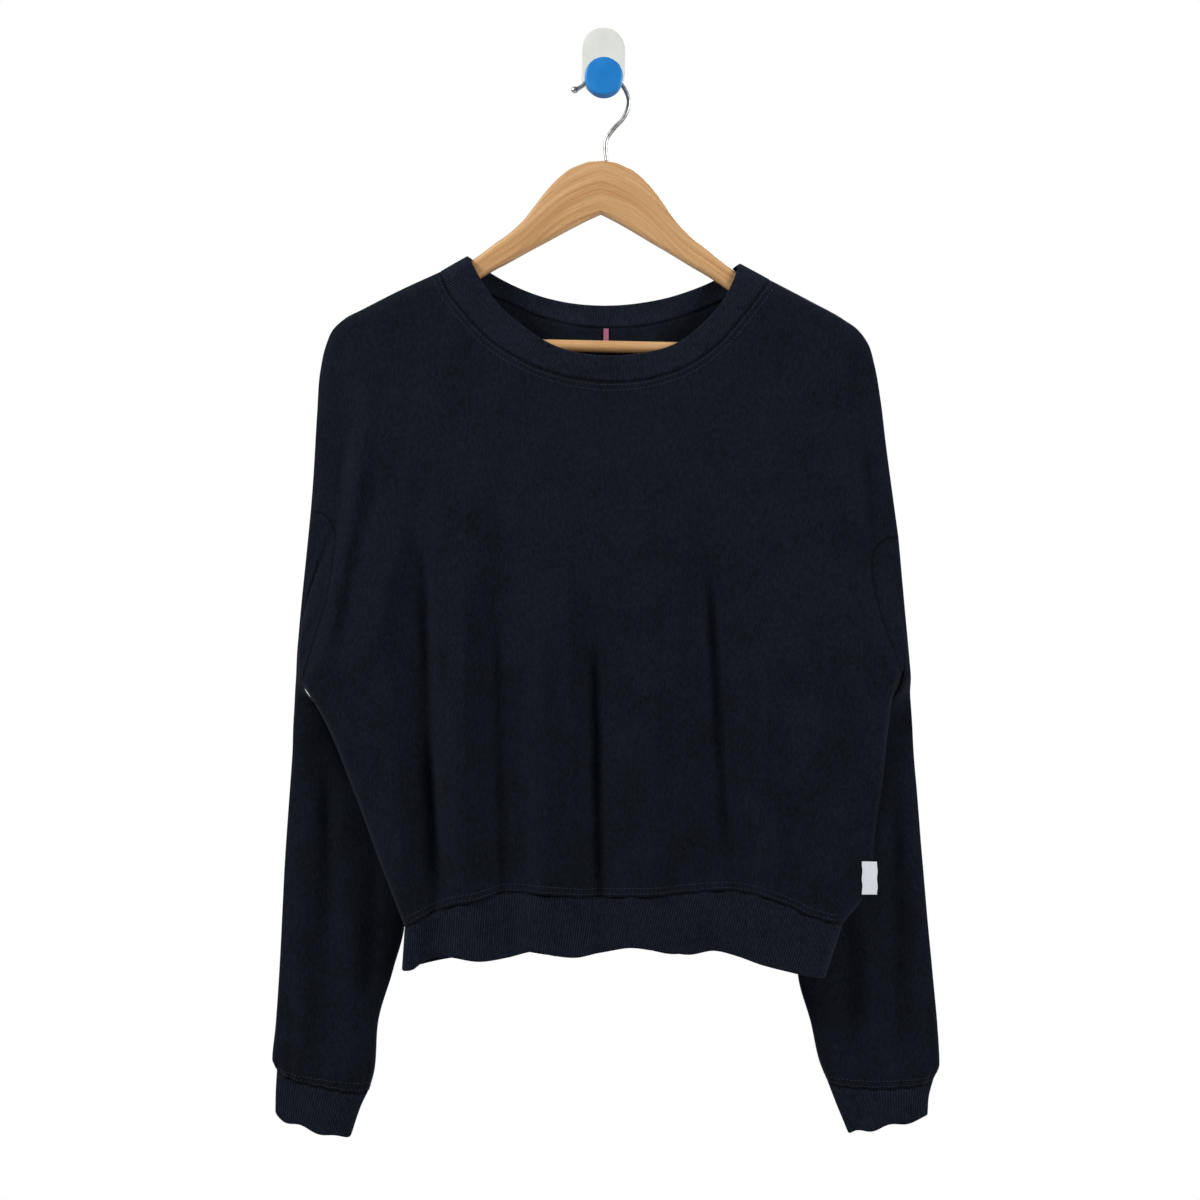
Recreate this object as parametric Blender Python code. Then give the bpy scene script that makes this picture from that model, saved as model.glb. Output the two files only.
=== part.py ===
"""Crew-neck sweatshirt on a wooden hanger that hangs from a round-headed wall peg.

The part's frame: x to the right as the front is seen, y into the wall, z up, origin in the middle
of the peg plate's back face. Sizes are in millimetres and become metres when a mesh is made.

A place on the garment is (x, drop, front): drop is measured down from the top of the hanger's
middle, and front is measured out from the hanger's middle plane towards the viewer.
"""

import math

import bmesh
import bpy
import numpy as np

for leftover in list(bpy.data.objects):
    bpy.data.objects.remove(leftover, do_unlink=True)

MM = 0.001

# ---------------------------------------------------------------- driving dimensions, in mm
WALL_TO_HANGER = 42.0      # wall face to the hanger's middle plane
HANGER_TOP = -92.3         # height of the hanger's top, with the peg plate's middle at 0
CLOTH = 2.0                # wall of the brushed-back jersey
RIB_CLOTH = 2.4            # wall of the doubled rib bands
SEAM_GAP = 0.4             # between pieces that are sewn to each other
ARMHOLE_GAP = {"left": 1.1, "right": 0.7}      # between a sleeve and the panels round its armhole
ARMHOLE_END_GAP = {"left": 1.1, "right": 0.7}  # what the armhole's two ends add to it
CUFF_GAP = 0.6             # between a sleeve's last ring and its cuff
SHOULDER_ROUND = 11.0      # how far below the shoulder line the cloth has turned flat
SIDE_ROUND = 15.0          # how far inside the side seam the cloth has turned flat

COLUMNS_SHOULDER = 10      # grid cells along each shoulder
COLUMNS_NECK = 18          # along the neck seam, front or back
ROWS_ARM = 7               # down the arm's fold edge, above the sleeve
ROWS_ARMHOLE = 9
ROWS_SIDE = 7
LOWER_RINGS = 10           # rings of a sleeve below the close sections
BAND_ROWS = 3
CROWDING = {               # share of a line by each end where cells crowd, and how strongly
    "columns": (0.045, 3.2), "neck": (0.05, 6.0), "shoulder": (0.12, 2.5),
    "arm": (0.2, 4.5), "armhole": (0.15, 1.0)}
NECK_BULGE = 0.5           # how far the middle of each band's depth stands out
HEM_BULGE = -0.4

HANGER_MIDDLE_X = -0.9
HANGER_TILT = math.radians(1.2)
HANGER_THICK = 12.0
HANGER_EDGE_ROUND = 4.5
BAR_DROP = 156.0
BAR_RADIUS = 5.2
BLOCK_INNER_X = 188.0      # inner face of the arm's end block, which carries the bar

WIRE_RADIUS = 1.8
WIRE_TIP_RADIUS = 2.9
WIRE_END_RADIUS = 0.9      # of the small flat that closes the tip's ball

PLATE_WIDTH = 37.8
PLATE_HEIGHT = 58.4
PLATE_THICK = 6.0
PLATE_EDGE = [(PLATE_THICK, 0.0), (1.5, 0.0), (0.4, 0.5), (0.0, 1.8)]     # depth behind the face, inset
STEM_RADIUS = 4.0
STEM_PLACE = (0.5, -23.5)  # x and z of the stem's axis
HEAD_PLACE = (0.6, -26.0)
HEAD_RADIUS = 15.9
HEAD_BACK = 50.0           # distance of the head's back face from the wall
HEAD_THICK = 16.0
HEAD_EDGE = [(HEAD_THICK, 1.6), (HEAD_THICK - 1.6, 0.0), (1.8, 0.0), (0.5, 0.6), (0.0, 2.0)]
SIDES = {"bar": 14, "hook": 8, "plate": 40, "stem": 16, "head": 40}     # round their sections
BAR_RINGS = 7
HOOK_RINGS = 38

# ---------------------------------------------------------------- outlines: (x, drop)
NECK_POINT = {"left": (-137.0, 93.2), "right": (140.2, 100.0)}      # neck seam on the shoulder line
COLLAR_POINT = {"left": (-113.4, 79.8), "right": (114.3, 86.0)}     # collar's edge, same line
SHOULDER = {    # from the neck seam along the shoulder, round the hanger's tip and down to the sleeve
    "left": [NECK_POINT["left"], (-170.6, 108.6), (-200.8, 124.0), (-217.0, 132.6), (-227.0, 142.0),
             (-233.0, 155.5), (-237.5, 176.0), (-240.3, 213.4), (-243.7, 272.2), (-245.4, 294.9)],
    "right": [NECK_POINT["right"], (172.0, 116.6), (202.4, 133.4), (213.5, 141.4), (222.8, 154.0),
              (228.0, 171.4), (233.0, 200.0), (237.6, 238.6), (243.0, 280.0), (247.7, 315.9)],
}
TIP_FRACTION = {"left": 0.376, "right": 0.352}      # where the hanger's tip turns the shoulder line down
ARMHOLE_FRONT = {   # from the drop-shoulder seam down to the armpit
    "left": [(-245.4, 294.9), (-233.5, 297.2), (-225.0, 307.5), (-225.2, 331.0), (-231.9, 372.2),
             (-240.3, 399.9), (-251.5, 438.5)],
    "right": [(247.7, 315.9), (236.5, 318.2), (226.5, 327.0), (224.0, 343.6), (226.4, 359.6),
              (233.8, 387.3), (249.6, 430.0)],
}
ARMHOLE_BACK = {
    "left": [(-245.4, 294.9), (-238.0, 305.0), (-235.0, 325.0), (-235.0, 350.0), (-237.5, 385.0),
             (-242.0, 410.0), (-251.5, 438.5)],
    "right": [(247.7, 315.9), (240.0, 324.0), (237.0, 340.0), (236.5, 362.0), (238.0, 385.0),
              (242.0, 405.0), (249.6, 430.0)],
}
SIDE_SEAM = {       # from the armpit down to the hem band's seam
    "left": [(-251.5, 438.5), (-236.0, 463.0), (-208.4, 527.0), (-183.4, 594.0), (-165.2, 640.8)],
    "right": [(249.6, 430.0), (243.0, 446.0), (238.2, 474.6), (233.5, 515.0), (226.8, 560.0),
              (219.5, 612.0), (199.5, 638.0)],
}
HEM_CORNER = {"left": (-167.6, 677.0), "right": (184.9, 683.0)}     # where the band's edge meets the side
NECK_FRONT = [NECK_POINT["left"], (-127.9, 113.1), (-114.6, 129.8), (-99.5, 146.5), (-82.0, 159.9),
              (-56.9, 173.3), (-27.7, 182.5), (5.8, 186.6), (39.2, 183.3), (72.6, 171.6),
              (97.7, 152.4), (116.1, 131.5), (129.0, 114.8), NECK_POINT["right"]]
COLLAR_FRONT = [COLLAR_POINT["left"], (-101.1, 102.5), (-88.6, 120.1), (-69.4, 137.6), (-46.0, 153.4),
                (-23.5, 161.6), (0.7, 164.3), (30.8, 162.6), (60.0, 154.6), (85.0, 135.9),
                (99.2, 119.2), (107.5, 104.5), COLLAR_POINT["right"]]
NECK_BACK = [NECK_POINT["left"], (-112.0, 104.5), (-82.9, 116.8), (-53.3, 129.4), (-23.7, 136.8),
             (0.8, 138.9), (39.7, 136.3), (73.5, 127.4), (107.0, 113.6), NECK_POINT["right"]]
COLLAR_BACK = [COLLAR_POINT["left"], (-89.7, 96.0), (-61.8, 109.3), (-28.0, 118.0), (0.8, 120.3),
               (31.2, 118.0), (65.0, 110.6), (94.6, 98.6), COLLAR_POINT["right"]]
HEM_SEAM_FRONT = [SIDE_SEAM["left"][-1], (-147.7, 631.7), (-127.0, 622.6), (-104.6, 618.0), (-83.1, 612.4),
                  (-46.6, 612.6), (-16.7, 615.8), (14.0, 615.1), (44.7, 613.5), (80.3, 611.0),
                  (119.3, 611.0), (152.5, 622.5), (174.1, 632.0), SIDE_SEAM["right"][-1]]
HEM_EDGE_FRONT = [HEM_CORNER["left"], (-158.5, 675.0), (-147.0, 667.6), (-128.7, 664.9), (-98.8, 668.0),
                  (-78.9, 665.7), (-54.0, 659.6), (-41.0, 663.0), (-23.3, 665.3), (-2.6, 662.0),
                  (22.0, 656.9), (50.5, 659.9), (70.4, 662.4), (92.0, 660.2), (112.0, 664.1),
                  (133.0, 671.4), (156.0, 678.0), HEM_CORNER["right"]]
HEM_SEAM_BACK = [SIDE_SEAM["left"][-1], (-130.0, 627.0), (-85.0, 615.0), (-40.0, 617.0), (10.0, 612.0),
                 (60.0, 616.0), (110.0, 613.0), (160.0, 626.0), SIDE_SEAM["right"][-1]]
HEM_EDGE_BACK = [HEM_CORNER["left"], (-130.0, 668.0), (-85.0, 662.0), (-40.0, 666.0), (10.0, 659.0),
                 (60.0, 665.0), (110.0, 661.0), (150.0, 671.0), HEM_CORNER["right"]]

# ---------------------------------------------------------------- depths
SEAM_FRONT = [   # drop, front of the shoulder line and the side seam
    (60.0, 0.0), (200.0, 0.0), (295.0, 2.0), (380.0, 7.0), (440.0, 12.0), (530.0, 15.0),
    (640.0, 17.0), (700.0, 17.0)]
CHEST_FRONT = [  # drop, front of the front panel inside the arm ridges
    (60.0, 10.6), (165.0, 10.6), (250.0, 15.0), (350.0, 20.0), (440.0, 24.0), (560.0, 27.0),
    (640.0, 29.0), (700.0, 28.0)]
ARM_DEPTH = [    # drop, how far the cloth outside the ridges stands before the seam's line
    (60.0, 10.6), (150.0, 9.5), (200.0, 7.0), (295.0, 6.0), (440.0, 6.0), (700.0, 6.0)]
BACK_DEPTH = [   # drop, half-depth of the back panel by the side, and the fullness added at its middle
    (60.0, 10.6, 0.0), (165.0, 10.6, 0.5), (295.0, 10.0, 3.0), (380.0, 9.0, 6.0), (440.0, 7.5, 9.0),
    (530.0, 7.0, 11.0), (640.0, 7.0, 12.0), (700.0, 7.0, 11.0)]
BACK_FULL_WIDTH = 105.0
ARM_RIDGE = [    # drop, x of the left ridge and of the right ridge, from hanger tip to armpit
    (60.0, -230.0, 225.0), (140.0, -214.0, 208.0), (178.0, -205.2, 204.5), (218.0, -201.5, 206.5),
    (253.0, -206.8, 208.0), (290.0, -210.2, 209.8), (327.0, -216.0, 212.4), (372.0, -223.5, 220.5),
    (400.0, -232.6, 232.0), (420.0, -240.1, 242.0), (440.0, -251.0, 254.0), (475.0, -275.0, 275.0),
    (700.0, -290.0, 290.0)]
RIDGE_SOFTNESS = 13.0      # width over which the cloth rises to the chest's depth
RIDGE_OUTSIDE = 10.4       # how far outside the ridge's line that rise starts
FOLD_FADE = 95.0           # length over which a fold grows from nothing
FOLD_END = 640.0           # the drop at which a fold's lower x is given
FRONT_FOLDS = [  # top x, top drop, x at the hem seam, depth (forward positive), half-width
    (-162.0, 250.0, -143.7, -5.5, 14.0), (-122.0, 330.0, -112.0, 4.0, 15.0),
    (-89.0, 265.0, -77.0, -5.0, 13.0), (-58.0, 360.0, -48.0, 4.5, 12.0),
    (-11.0, 340.0, -2.6, -7.5, 15.0), (36.0, 380.0, 40.0, 4.5, 15.0),
    (85.0, 250.0, 94.0, -6.5, 13.0), (132.0, 400.0, 124.0, 3.5, 13.0),
    (147.0, 480.0, 153.0, -4.0, 12.0), (156.0, 190.0, 229.0, -5.0, 16.0),
    (-196.0, 300.0, -160.0, 3.0, 16.0)]
BACK_FOLDS = [
    (-150.0, 300.0, -125.0, -4.0, 15.0), (-105.0, 330.0, -86.0, 3.5, 14.0),
    (-58.0, 280.0, -42.0, -5.5, 14.0), (-12.0, 350.0, 6.0, 5.0, 16.0),
    (44.0, 270.0, 54.0, -6.0, 14.0), (92.0, 340.0, 104.0, 4.0, 15.0),
    (140.0, 290.0, 150.0, -4.5, 14.0)]

# ---------------------------------------------------------------- sleeves and cuffs, a row a section
# outer x, outer drop, inner x, inner drop, outer front, inner front, half-depth forward and back,
# how far the middle hangs lower, share of the armhole's own curve that the section keeps, wall
SLEEVE = {
    "left": [
        (-256.5, 404.0, -253.18, 430.99, -2.13, 11.64, 3.46, 9.25, 0.0, 0.12, 1.64),
        (-258.3, 432.0, -252.61, 444.95, -4.8, 2.87, 7.31, 7.57, 0.0, 0.07, CLOTH),
        (-259.5, 452.0, -246.39, 458.36, -4.51, -1.31, 6.44, 9.52, 0.0, 0.0, 1.84),
        (-260.6, 474.0, -234.02, 479.68, -2.98, -5.5, 8.56, 10.26, 0.0, 0.4, CLOTH),
        (-262.2, 500.0, -216.0, 505.0, -9.0, -9.5, 8.5, 11.0, 0.0, 0.0, CLOTH),
        (-265.0, 534.0, -194.0, 540.0, -11.0, -12.0, 10.0, 11.0, 0.0, 0.0, CLOTH),
        (-268.5, 582.0, -174.5, 586.0, -12.0, -12.5, 11.0, 11.0, 0.0, 0.0, CLOTH),
        (-271.0, 632.0, -167.5, 638.0, -12.0, -12.5, 11.0, 11.0, 0.0, 0.0, CLOTH),
        (-273.5, 682.0, -177.6, 682.0, -12.0, -12.0, 11.5, 11.0, 0.0, 0.0, CLOTH),
        (-276.5, 726.0, -190.2, 726.0, -12.0, -12.0, 12.5, 12.0, 0.0, 0.0, CLOTH),
        (-279.5, 756.0, -193.0, 764.0, -12.0, -12.0, 14.5, 13.5, 4.0, 0.0, CLOTH),
        (-275.5, 763.0, -197.5, 781.0, -12.0, -12.0, 12.0, 11.5, 7.0, 0.0, CLOTH)],
    "right": [
        (256.0, 412.0, 251.24, 429.46, 5.18, 11.39, 6.61, 8.62, 0.0, 0.38, 1.98),
        (257.4, 430.0, 250.66, 440.64, 7.16, 7.01, 7.38, 8.97, 0.0, 0.09, 1.73),
        (259.0, 450.0, 244.13, 457.89, -7.15, -0.55, 5.59, 11.12, 0.0, 0.24, CLOTH),
        (260.2, 470.0, 234.12, 474.84, -5.19, -6.36, 0.43, 7.68, 0.0, 0.0, 1.95),
        (262.0, 496.0, 221.0, 502.0, -9.0, -10.0, 8.5, 11.0, 0.0, 0.0, CLOTH),
        (265.3, 532.0, 199.0, 540.0, -11.0, -12.0, 10.0, 11.0, 0.0, 0.0, CLOTH),
        (269.2, 580.0, 174.0, 586.0, -12.0, -12.5, 11.0, 11.0, 0.0, 0.0, CLOTH),
        (273.6, 632.0, 163.0, 640.0, -12.0, -12.5, 11.0, 11.0, 0.0, 0.0, CLOTH),
        (278.2, 682.0, 164.5, 684.0, -12.0, -12.0, 11.5, 11.0, 0.0, 0.0, CLOTH),
        (282.4, 726.0, 175.6, 726.0, -12.0, -12.0, 12.5, 12.0, 0.0, 0.0, CLOTH),
        (284.2, 760.0, 183.8, 761.0, -12.0, -12.0, 14.5, 13.5, 4.0, 0.0, CLOTH),
        (279.4, 771.0, 189.0, 773.0, -12.0, -12.0, 12.0, 11.5, 8.0, 0.0, CLOTH)],
}
CUFF = {
    "left": [
        (-276.6, 782.0, -204.5, 796.0, -12.0, -12.0, 11.5, 11.0, 5.0, 0.0, RIB_CLOTH),
        (-277.0, 803.0, -213.2, 823.0, -12.0, -12.0, 11.0, 10.5, 2.0, 0.0, RIB_CLOTH)],
    "right": [
        (275.2, 788.0, 198.0, 796.0, -12.0, -12.0, 11.5, 11.0, 6.0, 0.0, RIB_CLOTH),
        (274.2, 804.5, 207.4, 818.5, -12.0, -12.0, 11.0, 10.5, 0.0, 0.0, RIB_CLOTH)],
}
SEAM_TURN = {"left": (4.81, -1.48), "right": (3.49, 0.09)}   # run in the panel's plane, back half's drop
CLOSE_SECTIONS = 5         # sections at the armhole with a ring each, counting the armhole itself
TUBE_FLATNESS = 0.75       # below 1 squares the tube's section off

# ---------------------------------------------------------------- trims and holder
LABEL_TOP = 585.6
LABEL_HEIGHT = 27.4
LABEL_INNER_X = 214.8
LABEL_WIDTH = 12.5
LABEL_THICK = 1.0
LABEL_POINTS = 5           # along each of its edges
LABEL_CURL = 0.004         # forward per mm of width squared
TAB_X = 2.5
TAB_TOP = 139.8
TAB_HEIGHT = 13.0
TAB_WIDTH = 4.2
TAB_THICK = 0.8
TAB_ROWS = 4

HANGER_ARM = [   # distance from the middle, drop of the upper edge, drop of the lower edge
    (0.0, 0.0, 45.0), (11.3, 1.3, 50.4), (18.9, 4.2, 54.4), (26.5, 7.6, 58.6), (34.0, 13.4, 62.8),
    (41.6, 21.0, 67.2), (49.1, 30.2, 71.4), (56.7, 40.7, 75.6), (64.3, 50.8, 80.0), (71.8, 58.4, 84.4),
    (79.4, 65.1, 88.8), (86.9, 70.4, 92.8), (102.0, 82.2, 102.2), (112.0, 89.3, 109.0),
    (126.0, 98.4, 117.4), (140.0, 106.0, 125.2), (180.0, 125.0, 146.0), (BLOCK_INNER_X - 0.02, 129.2, 149.8),
    (BLOCK_INNER_X, 129.2, 166.0), (203.0, 137.0, 166.0), (210.0, 142.0, 164.0), (214.0, 147.5, 159.0)]
HOOK_WIRE = [    # x and drop, from the wood over the stem to the tip
    (2.8, -0.4), (2.8, -18.0), (9.2, -27.4), (15.9, -34.6), (20.3, -42.6), (21.7, -50.0),
    (19.8, -57.2), (16.2, -63.6), (9.8, -71.6), (0.5, -74.9), (-9.0, -71.8), (-15.0, -65.4),
    (-19.9, -61.4), (-26.5, -58.8)]

COLOURS = {      # base colour as sRGB hex, roughness, metallic
    "jersey": ("#14161E", 0.95, 0.0),
    "rib": ("#171922", 0.95, 0.0),
    "label": ("#E4E6EA", 0.75, 0.0),
    "tape": ("#A0556E", 0.8, 0.0),
    "wood": ("#C49B6C", 0.45, 0.0),
    "steel": ("#A9ABA8", 0.3, 1.0),
    "grey_plastic": ("#D9DBD6", 0.45, 0.0),
    "blue_plastic": ("#027FC1", 0.4, 0.0),
}


# ---------------------------------------------------------------- curves and tables
def hermite(knots, values, at, held=False):
    """Cubic curve through values given at rising knots, read at the places in at.

    A held curve never swings past the values on either side of it.
    """
    knots = np.asarray(knots, float)
    values = np.asarray(values, float)
    at = np.asarray(at, float)
    slopes = np.gradient(values, knots, axis=0)
    if held:
        widths = np.diff(knots).reshape((-1,) + (1,) * (values.ndim - 1))
        steps = np.diff(values, axis=0) / widths
        least = np.minimum(np.abs(steps[:-1]), np.abs(steps[1:]))
        same_way = steps[:-1] * steps[1:] > 0.0
        slopes[1:-1] = np.where(same_way, np.sign(steps[1:]) * np.minimum(np.abs(slopes[1:-1]), 2.0 * least), 0.0)
    cell = np.clip(np.searchsorted(knots, at, side="right") - 1, 0, len(knots) - 2)
    width = knots[cell + 1] - knots[cell]
    t = np.clip((at - knots[cell]) / width, 0.0, 1.0)
    extra = (1,) * (values.ndim - 1)
    t = t.reshape(t.shape + extra)
    width = width.reshape(width.shape + extra)
    start = values[cell] * (1 + 2 * t) * (1 - t) ** 2 + values[cell + 1] * t * t * (3 - 2 * t)
    return start + width * (slopes[cell] * t * (1 - t) ** 2 - slopes[cell + 1] * t * t * (1 - t))


def read_table(rows, at, column=1):
    """One column of a table whose first column rises, read smoothly at the places in at."""
    table = np.asarray(rows, float)
    return hermite(table[:, 0], table[:, column], at)


def curve(knots, fractions):
    """Smooth curve through the knots, read at fractions of its length."""
    knots = np.asarray(knots, float)
    steps = np.linalg.norm(np.diff(knots, axis=0), axis=1)
    along = np.concatenate([[0.0], np.cumsum(steps)])
    fine = hermite(along, knots, np.linspace(0.0, along[-1], 40 * len(knots)))
    length = np.concatenate([[0.0], np.cumsum(np.linalg.norm(np.diff(fine, axis=0), axis=1))])
    wanted = np.asarray(fractions, float) * length[-1]
    return np.stack([np.interp(wanted, length, fine[:, axis]) for axis in range(knots.shape[1])], axis=1)


def crowded(cells, edge_share, edge_weight, ends=(True, True)):
    """Fractions from 0 to 1 that lie closer near the chosen ends."""
    t = np.linspace(0.0, 1.0, 801)
    density = np.ones_like(t)
    if ends[0]:
        density += edge_weight * np.exp(-(t / edge_share) ** 2)
    if ends[1]:
        density += edge_weight * np.exp(-((1.0 - t) / edge_share) ** 2)
    summed = np.concatenate([[0.0], np.cumsum(0.5 * (density[1:] + density[:-1]))])
    return np.interp(np.linspace(0.0, summed[-1], cells + 1), summed, t)


def smoothstep(t):
    """An eased step from 0 at t = 0 to 1 at t = 1."""
    t = np.clip(t, 0.0, 1.0)
    return t * t * (3.0 - 2.0 * t)


# ---------------------------------------------------------------- the body's surface
GARMENT_MIDDLE = np.array([0.0, 420.0])
EDGE_SAMPLES = 70


def edge_paths():
    """The four fold edges where front meets back: each shoulder line, and each side seam."""
    samples = np.linspace(0.0, 1.0, EDGE_SAMPLES)
    paths = {}
    for side in ("left", "right"):
        paths["shoulder", side] = np.vstack([[COLLAR_POINT[side]], curve(SHOULDER[side], samples)])
        paths["side", side] = np.vstack([curve(SIDE_SEAM[side], samples), [HEM_CORNER[side]]])
    return paths


EDGES = edge_paths()


def off_edge(points, path):
    """Distance of each (x, drop) from a fold edge, and the unit direction from the edge inwards."""
    start = path[:-1]
    run = path[1:] - start
    rel = points[..., None, :] - start
    t = np.clip((rel * run).sum(-1) / (run ** 2).sum(-1), 0.0, 1.0)
    away = rel - t[..., None] * run
    distance = np.linalg.norm(away, axis=-1)
    nearest = np.argmin(distance, axis=-1)
    pick = nearest[..., None]
    distance = np.take_along_axis(distance, pick, -1)[..., 0]
    away = np.take_along_axis(away, pick[..., None], -2)[..., 0, :]
    square = np.stack([-run[:, 1], run[:, 0]], axis=1)[nearest]
    square /= np.linalg.norm(square, axis=-1, keepdims=True)
    inward = np.sign((square * (GARMENT_MIDDLE - points)).sum(-1))[..., None] * square
    on_edge = (distance < 0.5)[..., None]
    direction = np.where(on_edge, inward, away / np.maximum(distance, 0.5)[..., None])
    return distance, direction


def folds(points, rows):
    """Sum of the folds, each a soft ridge or trough that grows from its top towards the hem."""
    depth = np.zeros(points.shape[:-1])
    for top_x, top_drop, end_x, height, half_width in rows:
        share = (points[..., 1] - top_drop) / (FOLD_END - top_drop)
        middle = top_x + (end_x - top_x) * share
        grown = smoothstep((points[..., 1] - top_drop) / FOLD_FADE)
        depth += height * grown * np.exp(-((points[..., 0] - middle) / half_width) ** 2)
    return depth


def body_surface(points, face, wall):
    """Outer and inner points of the body's cloth at (x, drop); face is 1 for the front, -1 for the back.

    Away from the fold edges the cloth stands at its depth table. Within the edge round it turns back
    to the seam's depth along a quarter ellipse, and the inner ellipse is smaller by the wall.
    """
    round_off = np.ones(points.shape[:-1])
    shift = np.zeros(points.shape)
    for kind, radius in (("shoulder", SHOULDER_ROUND), ("side", SIDE_ROUND)):
        for side in ("left", "right"):
            distance, direction = off_edge(points, EDGES[kind, side])
            near = np.clip(1.0 - distance / radius, 0.0, 1.0)
            round_off = round_off * np.sqrt(1.0 - near ** 2)
            shift += wall * near[..., None] * direction
    x, drop = points[..., 0], points[..., 1]
    seam = read_table(SEAM_FRONT, drop)
    if face > 0:
        chest = read_table(CHEST_FRONT, drop) - seam
        arm = read_table(ARM_DEPTH, drop)
        inside = np.minimum(x - read_table(ARM_RIDGE, drop, 1), read_table(ARM_RIDGE, drop, 2) - x)
        depth = arm + (chest - arm) * smoothstep((inside + RIDGE_OUTSIDE) / RIDGE_SOFTNESS)
        depth = depth + folds(points, FRONT_FOLDS)
    else:
        full = np.exp(-(x / BACK_FULL_WIDTH) ** 2)
        depth = read_table(BACK_DEPTH, drop, 1) + full * read_table(BACK_DEPTH, drop, 2)
        depth = depth + folds(points, BACK_FOLDS)
    seam = seam + face * 0.5 * SEAM_GAP
    outer = np.dstack([points, seam + face * depth * round_off])
    inner = np.dstack([points + shift, seam + face * (depth - wall) * round_off])
    return outer, inner


# ---------------------------------------------------------------- panels
COLUMN_SHARE = crowded(2 * COLUMNS_SHOULDER + COLUMNS_NECK, *CROWDING["columns"])
ARM_SHARE = 0.31           # share of a panel's height beside the arm's fold edge, and down to the armpit
ARMPIT_SHARE = 0.595
ARM_FRACTIONS = crowded(ROWS_ARM, *CROWDING["arm"], (True, False))
ARMHOLE_FRACTIONS = crowded(ROWS_ARMHOLE, *CROWDING["armhole"])
SIDE_FRACTIONS = np.linspace(0.0, 1.0, ROWS_SIDE + 1)
ROW_SHARE = np.concatenate([ARM_SHARE * ARM_FRACTIONS,
                            ARM_SHARE + (ARMPIT_SHARE - ARM_SHARE) * ARMHOLE_FRACTIONS[1:],
                            ARMPIT_SHARE + (1.0 - ARMPIT_SHARE) * SIDE_FRACTIONS[1:]])
NECK_FRACTIONS = crowded(COLUMNS_NECK, *CROWDING["neck"])
SHOULDER_FRACTIONS = crowded(COLUMNS_SHOULDER, *CROWDING["shoulder"])
SIDE_PULL_FADE = 2.2       # how fast the sides' own shape dies out towards the middle


def top_line(neck):
    """A panel's upper edge: left shoulder from the hanger's tip, neck seam, right shoulder."""
    left = curve(SHOULDER["left"], TIP_FRACTION["left"] * SHOULDER_FRACTIONS)[::-1]
    middle = curve(neck, NECK_FRACTIONS)
    right = curve(SHOULDER["right"], TIP_FRACTION["right"] * SHOULDER_FRACTIONS)
    return np.vstack([left, middle[1:-1], right])


def side_line(side, armhole):
    """A panel's outer edge: down the arm from the hanger's tip, round the armhole, down the side."""
    tip = TIP_FRACTION[side]
    arm = curve(SHOULDER[side], tip + (1.0 - tip) * ARM_FRACTIONS)
    return np.vstack([arm, curve(armhole[side], ARMHOLE_FRACTIONS)[1:],
                      curve(SIDE_SEAM[side], SIDE_FRACTIONS)[1:]])


def panel_plan(neck, armhole, hem):
    """Grid of (x, drop): straight columns from the top line to the hem seam, pulled out at the sides."""
    top = top_line(neck)
    bottom = curve(hem, COLUMN_SHARE)
    down = ROW_SHARE[:, None]
    plan = (1.0 - down[..., None]) * top + down[..., None] * bottom
    pulls = {"left": (1.0 - COLUMN_SHARE) ** SIDE_PULL_FADE, "right": COLUMN_SHARE ** SIDE_PULL_FADE}
    for side, corner in (("left", 0), ("right", -1)):
        straight = (1.0 - down) * top[corner] + down * bottom[corner]
        offset = side_line(side, armhole) - straight
        plan = plan + pulls[side][None, :, None] * offset[:, None, :]
    return plan


def make_panel(face):
    """Outer and inner grids of the front (1) or the back (-1)."""
    if face > 0:
        return body_surface(panel_plan(NECK_FRONT, ARMHOLE_FRONT, HEM_SEAM_FRONT), face, CLOTH)
    return body_surface(panel_plan(NECK_BACK, ARMHOLE_BACK, HEM_SEAM_BACK), face, CLOTH)


# ---------------------------------------------------------------- bands
def close_ring(front, back):
    """One closed ring from a front row and a back row that share both ends: x rises along each."""
    ends = 0.5 * (front[[0, -1]] + back[[0, -1]])
    return np.vstack([ends[:1], front[1:-1], ends[1:], back[1:-1][::-1]])


def band(seam_rows, edge_curves, bulge):
    """Outer and inner grids of a ribbed ring from its seam to its free edge.

    Each row lies on the body's surface between the seam's curve and the edge's curve; the first row
    starts a seam gap away, and the middle of the band stands out by the bulge.
    """
    outer_rows = []
    inner_rows = []
    for row in range(BAND_ROWS + 1):
        across = row / BAND_ROWS
        rings = []
        for (seam, edge), face in zip(zip(seam_rows, edge_curves), (1, -1)):
            reach = np.linalg.norm(edge - seam, axis=1, keepdims=True)
            start = SEAM_GAP / np.maximum(reach, 1.0)
            place = seam + (edge - seam) * (start + (1.0 - start) * across)
            outer, inner = body_surface(place[None], face, RIB_CLOTH)
            swell = bulge * math.sin(math.pi * across) * face
            rings.append((outer[0] + [0.0, 0.0, swell], inner[0] + [0.0, 0.0, swell]))
        outer_rows.append(close_ring(rings[0][0], rings[1][0]))
        inner_rows.append(close_ring(rings[0][1], rings[1][1]))
    return np.array(outer_rows), np.array(inner_rows)


def make_hem_band():
    seams = [curve(HEM_SEAM_FRONT, COLUMN_SHARE), curve(HEM_SEAM_BACK, COLUMN_SHARE)]
    edges = [curve(HEM_EDGE_FRONT, COLUMN_SHARE), curve(HEM_EDGE_BACK, COLUMN_SHARE)]
    return band(seams, edges, HEM_BULGE)


def make_neckband():
    seams = [curve(NECK_FRONT, NECK_FRACTIONS), curve(NECK_BACK, NECK_FRACTIONS)]
    edges = [curve(COLLAR_FRONT, NECK_FRACTIONS), curve(COLLAR_BACK, NECK_FRACTIONS)]
    return band(seams, edges, NECK_BULGE)


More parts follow.
